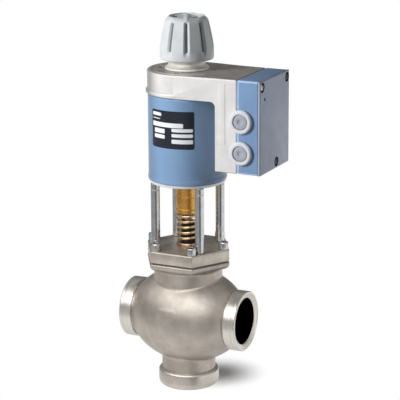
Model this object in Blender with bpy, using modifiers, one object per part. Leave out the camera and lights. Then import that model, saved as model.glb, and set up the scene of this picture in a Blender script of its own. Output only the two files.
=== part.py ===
# Three-way mixing valve, cast in stainless steel, with a magnetic actuator on four posts
import math
import bpy
import bmesh
from mathutils import Matrix

# All sizes are in metres, and heights run up the stem from the face of the bottom port
CLEARANCE = 0.0003          # left between two pieces that touch
OVERCUT = 0.001             # how far a cutter runs past the face that it opens

# Cast body
PORT_FACE = 0.069           # stem axis to the face of a side port
PORT_BORE = 0.025
COLLAR_RADIUS = 0.0328
SIDE_COLLAR_WIDTH = 0.015
BOTTOM_COLLAR_HEIGHT = 0.0183
LOWER_NECK_HEIGHT = 0.008   # bottom collar to the underside of the bulb
COLLAR_CHAMFER = 0.0012
BOTTOM_CHAMFER = 0.0038
BULB_RADIUS = 0.0525
BULB_HALF_LENGTH = 0.0663   # the bulb is longer along the side ports than it is wide
NECK_STEP = 0.00587         # flats of the hexagon to the neck under it
NECK_WALL = 0.006
LOWER_NECK_RADIUS = 0.0292
UPPER_FILLET = 0.010
LOWER_FILLET = 0.006
FLANGE_FILLET = 0.003
UPPER_NECK_HEIGHT = 0.0115  # top of the bulb to the top of the body's hexagonal flange
FLANGE_THICKNESS = 0.0078
FLANGE_TAPER = 0.0034
HEX_EDGE = 0.0018
CAST_WALL = 0.0048
WEB_RISE = 0.0155           # axis of the side ports to the underside of the web with the upper seat
WEB_THICKNESS = 0.006
FLOOR_DROP = 0.0215         # axis of the side ports to the top of the floor with the lower seat
FLOOR_THICKNESS = 0.008
LEFT_WALL = 0.0305          # stem axis to the upright wall of the web
LEFT_WALL_THICKNESS = 0.0055
RIGHT_WALL = 0.036          # stem axis to where the right port's bore begins

# Seats, plug and stem
SEAT_BORE = 0.0185
SEAT_BODY = 0.0217
SEAT_FLANGE = 0.025
SEAT_FLANGE_THICKNESS = 0.002
STROKE = 0.006
PLUG_RADIUS = 0.020
PLUG_WAIST = 0.0125
PLUG_NOSE_HEIGHT = 0.0042
NOSE_GAP = 0.001            # between the plug's nose and the bore of a seat
STEM_RADIUS = 0.004
STEM_COLLAR_RADIUS = 0.0065
STEM_COLLAR_HEIGHT = 0.0027
NUT_RADIUS = 0.0072
NUT_HEIGHT = 0.005
STEM_END = 0.0015           # thread that shows past a nut

# Bonnet, gland and return spring
GASKET_THICKNESS = 0.0008
GASKET_INSET = 0.0025
BONNET_THICKNESS = 0.0128
BONNET_SPIGOT = 0.009
BOSS_RADIUS = 0.014
BOSS_DEPTH = 0.019
PACKING_RADIUS = 0.0097
BUSH_HEIGHT = 0.0077
PACKING_HEIGHT = 0.0087
LIP_HEIGHT = 0.003
LIP_BORE = 0.0055
GLAND_HEAD_RADIUS = 0.0122
GLAND_HEAD_HEIGHT = 0.0032
SCREW_EDGE = 0.0076         # bonnet screws from the corners of the hexagon
SCREW_POST_GAP = 0.00115    # least gap between a screw head and a post
SCREW_HEAD_RADIUS = 0.0054
SCREW_HEAD_HEIGHT = 0.0082
SCREW_SHANK = 0.003
SCREW_REACH = 0.005         # how deep a shank goes into the body's flange
SCREW_SOCKET = 0.0026
SCREW_SOCKET_DEPTH = 0.004
SPRING_RADIUS = 0.010
SPRING_WIRE = 0.0034
SPRING_PITCH = 0.0061
SPRING_TURNS = 4.2
SPRING_END_TURNS = 0.5
GUIDE_RADIUS = 0.0074         # guide that stands inside the spring
GUIDE_HEIGHT = 0.024
SLEEVE_RADIUS = 0.0127
SLEEVE_RIM = 0.0006
SLEEVE_RIM_HEIGHT = 0.004
SLEEVE_HEIGHT = 0.0345
SLEEVE_CHAMFER = 0.0008

# Posts and magnet
POST_INSET = 0.00443        # posts from the edge of the base plate
POST_EDGE = 0.00245         # posts from the flats of the hexagon
POST_RADIUS = 0.0049
POST_LENGTH = 0.0718        # bonnet to base plate
POST_SPIGOT_RADIUS = 0.0034
POST_SPIGOT = 0.0055
POST_TENON = 0.002          # short end in the base plate
BASE_INSET = 0.0011         # edge of the base plate inside the can's outer face
BASE_RIM = 0.003
BASE_PLUG = 0.004
CAN_RADIUS = 0.0423
CAN_WALL = 0.003
CAN_HEIGHT = 0.0932
CAN_EDGE = 0.0015
ARMATURE_RADIUS = 0.0156
ARMATURE_HEIGHT = 0.038
POLE_HEIGHT = 0.0234
TUBE_WALL = 0.0012
BOBBIN_WALL = 0.0015
BOBBIN_FLANGE = 0.002
COIL_GAP = 0.0033           # winding to the bore of the can
FLUX_PLATE_THICKNESS = 0.007
CAN_TOP_BORE = 0.020

# Cover, terminal box and lid
CAP_HEIGHT = 0.0248
COVER_WALL = 0.0028
COVER_EDGE = 0.0014
LIP_RISE = 0.0017
CAP_LIP_HEIGHT = 0.0048
LEG_GAP = 0.0077            # between the can and the leg
LEG_DEPTH = 0.0245
LEG_CORNER = 0.006
HOUSING_HALF_WIDTH = 0.038
HOUSING_HEIGHT = 0.0990
BOX_DEPTH = 0.0231
BOX_EDGE = 0.0018
LID_THICKNESS = 0.0028
LID_SCREW_INSET = 0.006     # lid screws from the sides
LID_SCREW_DROP = 0.0068     # top lid screws from the top
LID_SCREW_FOOT = 0.0068     # bottom lid screw from the bottom
LID_SCREW_SIDE = 0.005
LID_POCKET = 0.0052
LID_POCKET_DEPTH = 0.0017
LID_SCREW_HEAD = 0.0036
LID_SCREW_SHANK = 0.0018
LID_SCREW_REACH = 0.010
BOX_BOSS = 0.0048
WIRE_HOLE = 0.009
COVER_SCREW_INSET = 0.0128  # cover screws from the can's outer face
COVER_SCREW_TURN = 8.0      # degrees that the cover screws are turned from the box's direction
COVER_SCREW_HEAD = 0.0029
COVER_POCKET_DEPTH = 0.0015
COVER_SCREW_SHANK = 0.0016
COVER_SCREW_REACH = 0.006
ENTRY_OFFSET = 0.0055       # entries from the joint of leg and box
ENTRY_UPPER_DROP = 0.0431   # entries from the top of the housing
ENTRY_SPACING = 0.0334
ENTRY_RADIUS = 0.0128
ENTRY_RISE = 0.0038
ENTRY_THREAD = 0.0105
ENTRY_BORE = 0.0082
PLUG_CAP_RISE = 0.0016
BOARD_THICKNESS = 0.0016
BOARD_FOOT = 0.010
BOARD_HEIGHT = 0.074
TERMINAL_DEPTH = 0.011
TERMINAL_WIDTH = 0.044
TERMINAL_HEIGHT = 0.014
TERMINAL_DROP = 0.050
TERMINAL_WAYS = 6

# Hand knob and its press action
NECK_BASE_RADIUS = 0.0238
NECK_BASE_HEIGHT = 0.003
NECK_RADIUS = 0.0193
NECK_HEIGHT = 0.0167
NECK_SPIGOT_RADIUS = 0.0127
SPIGOT_BELOW = 0.0068
NECK_POCKET = 0.0145
NECK_FLOOR = 0.0055
SLIDE_RADIUS = 0.0083
SPINDLE_RADIUS = 0.0045
SPINDLE_FOOT_RADIUS = 0.010
SPINDLE_FOOT_HEIGHT = 0.003
SPINDLE_GAP = 0.001         # between the spindle pressed in and the armature at rest
PRESS_TRAVEL = 0.0025
PRESS_FLANGE_RADIUS = 0.0135
PRESS_FLANGE_HEIGHT = 0.002
RETAINER_RADIUS = 0.011
RETAINER_HEIGHT = 0.0022
KNOB_SPRING_RADIUS = 0.0114
KNOB_SPRING_WIRE = 0.0014
KNOB_SPRING_TURNS = 3.0
KNOB_LIFT = 0.0107          # top of the cover to the underside of the knob
KNOB_HEIGHT = 0.0455
KNOB_BASE_RADIUS = 0.0287
KNOB_TOP_RADIUS = 0.0206
KNOB_SKIRT_BORE = 0.0225
KNOB_GROOVES = 9
KNOB_GROOVE_DEPTH = 0.0026
KNOB_GROOVE_SHARE = 0.34    # part of each flute's width that its groove takes
KNOB_GROOVE_FOOT = 0.10     # part of the knob's height where the grooves begin
KNOB_GROOVE_FADE = 0.22     # part of the height over which they reach full depth
KNOB_FLUTE_HOLLOW = 0.0007
KNOB_DOME_POWER = 1.6
KNOB_GROOVE_TURN = -25.0    # degrees from +X to the first groove
KNOB_RIM = 0.003
KNOB_RECESS_DEPTH = 0.0035
KNOB_CAP_THICKNESS = 0.0022
KNOB_SCREW_HEAD = 0.0042
KNOB_SCREW_HEAD_HEIGHT = 0.0032
KNOB_SCREW_SHANK = 0.002
KNOB_SCREW_REACH = 0.009

# Levels and radii that follow from the sizes above
HUB_CLEARANCE = 2 * CLEARANCE
port_height = BOTTOM_COLLAR_HEIGHT + LOWER_NECK_HEIGHT + BULB_RADIUS
body_height = port_height + BULB_RADIUS + UPPER_NECK_HEIGHT
web_height = port_height + WEB_RISE
floor_height = port_height - FLOOR_DROP
flange_bottom = body_height - FLANGE_THICKNESS
bonnet_bottom = body_height + GASKET_THICKNESS + 2 * CLEARANCE
bonnet_top = bonnet_bottom + BONNET_THICKNESS
base_bottom = bonnet_top + POST_LENGTH
base_top = base_bottom + BASE_RIM + BASE_PLUG
can_bottom = base_bottom + BASE_RIM + CLEARANCE
can_top = can_bottom + CAN_HEIGHT
can_bore = CAN_RADIUS - CAN_WALL
base_radius = CAN_RADIUS - BASE_INSET
coil_radius = can_bore - COIL_GAP
cover_screw_circle = CAN_RADIUS - COVER_SCREW_INSET
post_circle = base_radius - POST_INSET
post_offset = post_circle * math.cos(math.radians(45))
post_turn = math.radians(60 - 45)       # from a post to the nearest corner of the hexagon
post_reach = post_circle * math.cos(post_turn)
post_side = post_circle * math.sin(post_turn)
screw_to_post = SCREW_HEAD_RADIUS + POST_RADIUS + SCREW_POST_GAP
screw_circle = post_reach + math.sqrt(max(screw_to_post ** 2 - post_side ** 2, 0))
corner_for_posts = (post_reach + POST_RADIUS + POST_EDGE) / math.cos(math.radians(30))
hex_radius = max(screw_circle + SCREW_EDGE, corner_for_posts)
upper_neck_radius = hex_radius * math.cos(math.radians(30)) - NECK_STEP
top_bore_radius = upper_neck_radius - NECK_WALL
cap_bottom = can_top + CLEARANCE
cover_top = cap_bottom + CAP_HEIGHT
cover_inside = cover_top - COVER_WALL
housing_bottom = cover_top - HOUSING_HEIGHT
leg_back = CAN_RADIUS + LEG_GAP
leg_front = leg_back + LEG_DEPTH
box_back = leg_front + CLEARANCE
box_front = box_back + BOX_DEPTH
lid_back = box_front + CLEARANCE
lid_face = lid_back + LID_THICKNESS
stem_axis_x = (PORT_FACE - lid_face) / 2
upper_seat_face = web_height
lower_seat_face = floor_height + CLEARANCE + SEAT_FLANGE_THICKNESS
plug_top = upper_seat_face - CLEARANCE
plug_bottom = lower_seat_face + CLEARANCE + STROKE
gland_top = bonnet_top + CLEARANCE + GLAND_HEAD_HEIGHT
spring_foot = gland_top + CLEARANCE
spring_rise = SPRING_TURNS * SPRING_PITCH + 2 * SPRING_END_TURNS * (SPRING_WIRE + CLEARANCE / 2)
spring_head = spring_foot + spring_rise + SPRING_WIRE
sleeve_bottom = spring_head + CLEARANCE
pole_bottom = base_top + CLEARANCE
armature_bottom = pole_bottom + POLE_HEIGHT + CLEARANCE + STROKE
armature_top = armature_bottom + ARMATURE_HEIGHT
tube_bore = ARMATURE_RADIUS + CLEARANCE
tube_radius = tube_bore + TUBE_WALL
bobbin_bore = tube_radius + CLEARANCE
flux_top = can_top - CAN_WALL - CLEARANCE
flux_bottom = flux_top - FLUX_PLATE_THICKNESS
stem_top = armature_top + CLEARANCE + NUT_HEIGHT + STEM_END
spindle_foot = stem_top + SPINDLE_GAP + PRESS_TRAVEL
neck_base = cover_top + CLEARANCE
neck_top = neck_base + NECK_HEIGHT
neck_floor = neck_base + NECK_FLOOR
spigot_bottom = cover_top - COVER_WALL - SPIGOT_BELOW
press_flange = neck_top + CLEARANCE + PRESS_TRAVEL
press_top = press_flange + PRESS_FLANGE_HEIGHT + HUB_CLEARANCE
slide_bore = SPINDLE_RADIUS + CLEARANCE
knob_bottom = cover_top + KNOB_LIFT
knob_top = knob_bottom + KNOB_HEIGHT
knob_ceiling = press_top + CLEARANCE
knob_floor = knob_top - KNOB_RECESS_DEPTH
spindle_top = knob_floor - KNOB_SCREW_HEAD_HEIGHT - 2 * CLEARANCE

# Colour, roughness and metallic value of each finish
FINISHES = {
    "cast_stainless": ((0.42, 0.39, 0.35), 0.42, 1.0),
    "machined_steel": ((0.62, 0.60, 0.57), 0.28, 1.0),
    "dark_steel": ((0.24, 0.24, 0.24), 0.40, 1.0),
    "zinc_plating": ((0.50, 0.52, 0.53), 0.25, 1.0),
    "brass": ((0.60, 0.36, 0.10), 0.28, 1.0),
    "copper": ((0.66, 0.34, 0.24), 0.35, 1.0),
    "blue_paint": ((0.12, 0.25, 0.47), 0.38, 0.0),
    "blue_plastic": ((0.17, 0.34, 0.62), 0.42, 0.0),
    "lid_plastic": ((0.22, 0.26, 0.36), 0.40, 0.0),
    "cover_metal": ((0.66, 0.64, 0.60), 0.40, 0.9),
    "grey_plastic": ((0.52, 0.54, 0.56), 0.38, 0.0),
    "white_plastic": ((0.78, 0.77, 0.76), 0.40, 0.0),
    "dark_plastic": ((0.04, 0.04, 0.05), 0.50, 0.0),
    "seal": ((0.06, 0.06, 0.06), 0.70, 0.0),
    "board": ((0.05, 0.20, 0.10), 0.50, 0.0),
}

for item in list(bpy.data.objects):
    bpy.data.objects.remove(item)

valve = bpy.data.collections.new("control_valve")
bpy.context.scene.collection.children.link(valve)
stem_axis = bpy.data.objects.new("stem_axis", None)
stem_axis.location = (stem_axis_x, 0, 0)
valve.objects.link(stem_axis)


def finish_of(name):
    found = bpy.data.materials.get(name)
    if found:
        return found
    colour, roughness, metallic = FINISHES[name]
    made = bpy.data.materials.new(name)
    made.use_nodes = True
    shader = made.node_tree.nodes["Principled BSDF"]
    shader.inputs["Base Color"].default_value = (*colour, 1)
    shader.inputs["Roughness"].default_value = roughness
    shader.inputs["Metallic"].default_value = metallic
    return made


def linked(name, data):
    obj = bpy.data.objects.new(name, data)
    valve.objects.link(obj)
    return obj


def shade(mesh):
    mesh.shade_smooth()
    mesh.set_sharp_from_angle(angle=math.radians(32))


# Turns an object's modifiers, or a curve, into its mesh
def settle(obj):
    bpy.context.view_layer.update()
    graph = bpy.context.evaluated_depsgraph_get()
    mesh = bpy.data.meshes.new_from_object(obj.evaluated_get(graph))
    work = bmesh.new()
    work.from_mesh(mesh)
    if obj.type == "CURVE":
        bmesh.ops.remove_doubles(work, verts=work.verts, dist=0.000002)
    bmesh.ops.recalc_face_normals(work, faces=work.faces)
    work.to_mesh(mesh)
    work.free()
    shade(mesh)
    if obj.type == "MESH":
        obj.modifiers.clear()
        obj.data = mesh
        return obj
    solid = linked(obj.name + "_mesh", mesh)
    solid.matrix_world = obj.matrix_world.copy()
    name = obj.name
    bpy.data.objects.remove(obj)
    solid.name = name
    return solid


# Joins or cuts with all the others in one step, so that no rounded result is cut again
def boolean(obj, others, operation):
    tools = bpy.data.collections.new("tools")
    bpy.context.scene.collection.children.link(tools)
    for other in others:
        tools.objects.link(other)
        valve.objects.unlink(other)
    step = obj.modifiers.new(operation.lower(), "BOOLEAN")
    step.operation = operation
    step.solver = "EXACT"
    step.operand_type = "COLLECTION"
    step.collection = tools
    settle(obj)
    for other in others:
        bpy.data.objects.remove(other)
    bpy.data.collections.remove(tools)
    return obj


def join(obj, *others):
    return boolean(obj, others, "UNION")


def cut(obj, *cutters):
    return boolean(obj, cutters, "DIFFERENCE")


def common(obj, other):
    return boolean(obj, [other], "INTERSECT")


# An outline of (radius, height) points, which runs down the outer side, turned about the Z axis
def turned(name, outline, steps=24, ring=False):
    mesh = bpy.data.meshes.new(name)
    count = len(outline)
    edges = [(i, i + 1) for i in range(count - 1)]
    if ring:
        edges.append((count - 1, 0))
    mesh.from_pydata([(radius, 0, height) for radius, height in outline], edges, [])
    obj = linked(name, mesh)
    screw = obj.modifiers.new("turn", "SCREW")
    screw.steps = screw.render_steps = steps
    screw.use_merge_vertices = True
    screw.merge_threshold = 0.00001
    return settle(obj)


def arc(centre, radius, start, end, count):
    angles = [math.radians(start + (end - start) * i / (count - 1)) for i in range(count)]
    return [(centre[0] + radius * math.cos(a), centre[1] + radius * math.sin(a)) for a in angles]


# The section of a tube or washer, for turned(..., ring=True)
def tube_outline(inner, outer, bottom, top, edge=0.0):
    if not edge:
        return [(outer, top), (outer, bottom), (inner, bottom), (inner, top)]
    return [
        (outer - edge, top),
        (outer, top - edge),
        (outer, bottom + edge),
        (outer - edge, bottom),
        (inner, bottom),
        (inner, top),
    ]


def tube(name, inner, outer, bottom, top, steps=24, edge=0.0):
    return turned(name, tube_outline(inner, outer, bottom, top, edge), steps, ring=True)


def rod(name, radius, bottom, top, place=(0, 0), steps=24):
    work = bmesh.new()
    bmesh.ops.create_cone(
        work, cap_ends=True, segments=steps, radius1=radius, radius2=radius, depth=top - bottom,
        matrix=Matrix.Translation((place[0], place[1], (top + bottom) / 2)),
    )
    mesh = bpy.data.meshes.new(name)
    work.to_mesh(mesh)
    work.free()
    shade(mesh)
    return linked(name, mesh)


def block(name, low, high, edge=0.0, segments=2):
    work = bmesh.new()
    bmesh.ops.create_cube(work, size=1)
    size = [b - a for a, b in zip(low, high)]
    middle = [(a + b) / 2 for a, b in zip(low, high)]
    place = Matrix.Translation(middle) @ Matrix.Diagonal((*size, 1))
    bmesh.ops.transform(work, matrix=place, verts=work.verts)
    mesh = bpy.data.meshes.new(name)
    work.to_mesh(mesh)
    work.free()
    obj = linked(name, mesh)
    if edge:
        bevel = obj.modifiers.new("edges", "BEVEL")
        bevel.width = edge
        bevel.segments = segments
        settle(obj)
    return obj


# Lays a piece that was turned about Z along +X (side 1), -X (side -1) or towards the front, -Y
def along_x(obj, side=1):
    obj.data.transform(Matrix.Rotation(math.radians(90 * side), 4, "Y"))
    return obj


def towards_front(obj):
    obj.data.transform(Matrix.Rotation(math.radians(90), 4, "X"))
    return obj


def moved(obj, x=0.0, y=0.0, z=0.0):
    obj.data.transform(Matrix.Translation((x, y, z)))
    return obj


# A flat outline in the XY plane, given thickness from bottom to top with rounded edges
def plate(name, outline, bottom, top, edge=0.0):
    curve = bpy.data.curves.new(name, "CURVE")
    curve.dimensions = "2D"
    curve.fill_mode = "BOTH"
    spline = curve.splines.new("POLY")
    spline.points.add(len(outline) - 1)
    for point, (x, y) in zip(spline.points, outline):
        point.co = (x, y, 0, 1)
    spline.use_cyclic_u = True
    curve.extrude = (top - bottom) / 2 - edge
    curve.bevel_depth = edge
    curve.bevel_resolution = 1
    curve.offset = -edge
    obj = linked(name, curve)
    obj.location.z = (top + bottom) / 2
    obj = settle(obj)
    obj.data.transform(obj.matrix_world)
    obj.matrix_world = Matrix.Identity(4)
    return obj


def dressed(obj, finish, parent=stem_axis):
    obj.data.materials.clear()
    obj.data.materials.append(finish_of(finish))
    obj.parent = parent
    return obj


# A second object that shares the first one's mesh
def copy_of(obj, name, place):
    twin = linked(name, obj.data)
    twin.location = place
    twin.parent = obj.parent
    return twin


def bulb(name, shrink=0.0, steps=32):
    work = bmesh.new()
    bmesh.ops.create_uvsphere(work, u_segments=steps, v_segments=steps // 2, radius=1)
    mesh = bpy.data.meshes.new(name)
    work.to_mesh(mesh)
    work.free()
    radius = BULB_RADIUS - shrink
    stretch = Matrix.Diagonal((BULB_HALF_LENGTH - shrink, radius, radius, 1))
    mesh.transform(stretch @ Matrix.Rotation(math.radians(90), 4, "Y"))
    shade(mesh)
    return moved(linked(name, mesh), z=port_height)


# The concave round between a neck and the bulb, from the neck's side to where it meets the bulb
def neck_round(neck_radius, fillet, upward):
    reach = neck_radius + fillet
    rise = math.sqrt((BULB_RADIUS + fillet) ** 2 - reach ** 2)
    tilt = math.degrees(math.atan2(rise, reach))
    centre = (reach, port_height + rise * upward)
    return arc(centre, fillet, 180, 180 + tilt * upward, 3)


def side_port(name, side):
    back = PORT_FACE - SIDE_COLLAR_WIDTH
    small = COLLAR_CHAMFER / 2
    outline = [
        (0, PORT_FACE),
        (COLLAR_RADIUS - COLLAR_CHAMFER, PORT_FACE),
        (COLLAR_RADIUS, PORT_FACE - COLLAR_CHAMFER),
        (COLLAR_RADIUS, back + small),
        (COLLAR_RADIUS - small, back),
        (LOWER_NECK_RADIUS, back),
        (LOWER_NECK_RADIUS, back - BOTTOM_COLLAR_HEIGHT / 2),
        (0, back - BOTTOM_COLLAR_HEIGHT),
    ]
    return moved(along_x(turned(name, outline, 32), side), z=port_height)


def valve_body():
    body = bulb("valve_body")
    upper = neck_round(upper_neck_radius, UPPER_FILLET, 1)
    under_flange = (upper_neck_radius + FLANGE_FILLET, flange_bottom - FLANGE_FILLET)
    upper_neck = turned("upper_neck", [
        (0, body_height - OVERCUT),
        (upper_neck_radius + FLANGE_FILLET, body_height - OVERCUT),
        *arc(under_flange, FLANGE_FILLET, 90, 180, 3),
        *upper,
        (upper_neck_radius - CAST_WALL, port_height + CAST_WALL),
        (0, port_height),
    ], 32)
    lower = neck_round(LOWER_NECK_RADIUS, LOWER_FILLET, -1)
    lower_neck = turned("lower_neck", [
        (0, port_height),
        (LOWER_NECK_RADIUS - CAST_WALL / 2, port_height - CAST_WALL),
        *reversed(lower),
        (LOWER_NECK_RADIUS, BOTTOM_COLLAR_HEIGHT + COLLAR_CHAMFER),
        (COLLAR_RADIUS - COLLAR_CHAMFER / 2, BOTTOM_COLLAR_HEIGHT),
        (COLLAR_RADIUS, BOTTOM_COLLAR_HEIGHT - COLLAR_CHAMFER),
        (COLLAR_RADIUS, BOTTOM_CHAMFER),
        (COLLAR_RADIUS - BOTTOM_CHAMFER / 3, BOTTOM_CHAMFER / 3),
        (COLLAR_RADIUS - BOTTOM_CHAMFER, 0),
        (0, 0),
    ], 32)
    flange = turned("body_flange", [
        (0, body_height),
        (hex_radius, body_height),
        (hex_radius, body_height - FLANGE_THICKNESS / 2),
        (hex_radius - FLANGE_TAPER, flange_bottom),
        (0, flange_bottom),
    ], 6)
    rounded(flange)
    join(body, upper_neck, lower_neck, side_port("left_port", -1), side_port("right_port", 1), flange)
    return dressed(cut(body, *body_cutters()), "cast_stainless")


def rounded(obj, width=HEX_EDGE):
    bevel = obj.modifiers.new("edges", "BEVEL")
    bevel.width = width
    bevel.segments = 2
    bevel.limit_method = "ANGLE"
    bevel.angle_limit = math.radians(28)
    return settle(obj)


# The hollows: a room over the web and down its left side for the left port, and one under it for the right
def body_hollows():
    far = PORT_FACE + OVERCUT
    wide = BULB_RADIUS
    web_top = web_height + WEB_THICKNESS
    over_end = RIGHT_WALL - 2 * CAST_WALL
    left_end = -(LEFT_WALL + LEFT_WALL_THICKNESS)
    over = block("room_over_web", (-far, -wide, web_top), (over_end, wide, flange_bottom))
    left = block("room_left", (-far, -wide, 0), (left_end, wide, flange_bottom - CAST_WALL))
    under = block("room_under_web", (-LEFT_WALL, -wide, floor_height), (far, wide, web_height))
    rooms = join(over, left, under)
    return common(bulb("hollows", CAST_WALL, 24), rooms)


def body_cutters():
    far = PORT_FACE + OVERCUT
    web_top = web_height + WEB_THICKNESS
    left_start = LEFT_WALL + LEFT_WALL_THICKNESS + CAST_WALL
    left_bore = moved(along_x(rod("left_bore", PORT_BORE, left_start, far, steps=28), -1), z=port_height)
    right_bore = moved(along_x(rod("right_bore", PORT_BORE, RIGHT_WALL, far, steps=28)), z=port_height)
    top_bore = rod("top_bore", top_bore_radius, web_top + CAST_WALL, body_height + OVERCUT, steps=28)
    floor_bottom = floor_height - FLOOR_THICKNESS
    bottom_bore = rod("bottom_bore", PORT_BORE, -OVERCUT, floor_bottom, steps=28)
    seat_hole = SEAT_BODY + CLEARANCE
    upper_hole = rod("upper_hole", seat_hole, web_height - OVERCUT, web_top + OVERCUT, steps=24)
    lower_hole = rod("lower_hole", seat_hole, floor_bottom - OVERCUT, floor_height + OVERCUT, steps=24)
    hole_bottom = body_height - SCREW_REACH - CLEARANCE
    hole_top = body_height + OVERCUT
    screw_holes = [
        rod("screw_hole", SCREW_SHANK + CLEARANCE, hole_bottom, hole_top, place=corner(i), steps=8)
        for i in range(6)
    ]
    bores = [left_bore, right_bore, top_bore, bottom_bore]
    return [body_hollows(), *bores, upper_hole, lower_hole, *screw_holes]


# Where a bonnet screw stands: one at each corner of the hexagon
def corner(index):
    angle = math.radians(60 * index)
    return (screw_circle * math.cos(angle), screw_circle * math.sin(angle))


def seat_ring(name, top, depth):
    outline = [
        (SEAT_FLANGE, top),
        (SEAT_FLANGE, top - SEAT_FLANGE_THICKNESS),
        (SEAT_BODY, top - SEAT_FLANGE_THICKNESS),
        (SEAT_BODY, top - depth),
        (SEAT_BORE, top - depth),
        (SEAT_BORE, top),
    ]
    return dressed(turned(name, outline, 24, ring=True), "machined_steel")


def plug():
    nose = SEAT_BORE - NOSE_GAP
    bore = STEM_RADIUS + CLEARANCE
    rim = PLUG_NOSE_HEIGHT
    shape = turned("plug", [
        (nose - rim / 2, plug_top + rim),
        (nose, plug_top),
        (PLUG_RADIUS, plug_top),
        (PLUG_RADIUS, plug_top - rim),
        (PLUG_WAIST, plug_top - 2 * rim),
        (PLUG_WAIST, plug_bottom + 2 * rim),
        (PLUG_RADIUS, plug_bottom + rim),
        (PLUG_RADIUS, plug_bottom),
        (nose, plug_bottom),
        (nose - rim / 2, plug_bottom - rim),
        (bore, plug_bottom - rim),
        (bore, plug_top + rim),
    ], 20, ring=True)
    return dressed(shape, "machined_steel")


def hex_nut(name, bottom, bore, finish):
    nut = rod(name, NUT_RADIUS, bottom, bottom + NUT_HEIGHT, steps=6)
    hole = rod("nut_hole", bore, bottom - OVERCUT, bottom + NUT_HEIGHT + OVERCUT, steps=12)
    return dressed(cut(nut, hole), finish)


def stem():
    collar = plug_top + PLUG_NOSE_HEIGHT + CLEARANCE
    foot = plug_bottom - PLUG_NOSE_HEIGHT - CLEARANCE - NUT_HEIGHT - STEM_END
    shape = turned("stem", [
        (0, stem_top),
        (STEM_RADIUS, stem_top),
        (STEM_RADIUS, collar + STEM_COLLAR_HEIGHT),
        (STEM_COLLAR_RADIUS, collar + STEM_COLLAR_HEIGHT),
        (STEM_COLLAR_RADIUS, collar),
        (STEM_RADIUS, collar),
        (STEM_RADIUS, foot),
        (0, foot),
    ], 12)
    return dressed(shape, "machined_steel")


def stem_and_plug():
    bore = STEM_RADIUS + CLEARANCE
    plug()
    stem()
    hex_nut("plug_nut", plug_bottom - PLUG_NOSE_HEIGHT - CLEARANCE - NUT_HEIGHT, bore, "machined_steel")
    hex_nut("armature_nut", armature_top + CLEARANCE, bore, "zinc_plating")
    dressed(tube("armature", bore, ARMATURE_RADIUS, armature_bottom, armature_top, 20), "dark_steel")
    sleeve = turned("spring_cap", [
        (SLEEVE_RADIUS - SLEEVE_CHAMFER, sleeve_bottom + SLEEVE_HEIGHT),
        (SLEEVE_RADIUS, sleeve_bottom + SLEEVE_HEIGHT - SLEEVE_CHAMFER),
        (SLEEVE_RADIUS, sleeve_bottom + SLEEVE_RIM_HEIGHT + SLEEVE_RIM),
        (SLEEVE_RADIUS + SLEEVE_RIM, sleeve_bottom + SLEEVE_RIM_HEIGHT),
        (SLEEVE_RADIUS + SLEEVE_RIM, sleeve_bottom + SLEEVE_CHAMFER),
        (SLEEVE_RADIUS + SLEEVE_RIM - SLEEVE_CHAMFER, sleeve_bottom),
        (bore, sleeve_bottom),
        (bore, sleeve_bottom + SLEEVE_HEIGHT),
    ], 24, ring=True)
    dressed(sleeve, "brass")


# A round wire on a helix, with closed end turns
def coil_spring(name, radius, wire, foot, turns, pitch, end_turns, per_turn, finish):
    close = wire + CLEARANCE / 2
    total = turns + 2 * end_turns
    count = int(round(total * per_turn))
    curve = bpy.data.curves.new(name, "CURVE")
    curve.dimensions = "3D"
    spline = curve.splines.new("POLY")
    spline.points.add(count)
    for i, point in enumerate(spline.points):
        turn = total * i / count
        low = min(turn, end_turns)
        middle = min(max(turn - end_turns, 0), turns)
        high = max(turn - end_turns - turns, 0)
        height = foot + wire / 2 + (low + high) * close + middle * pitch
        angle = 2 * math.pi * turn
        point.co = (radius * math.cos(angle), radius * math.sin(angle), height, 1)
    curve.bevel_depth = wire / 2
    curve.bevel_resolution = 2
    curve.use_fill_caps = True
    return dressed(settle(linked(name, curve)), finish)


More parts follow.
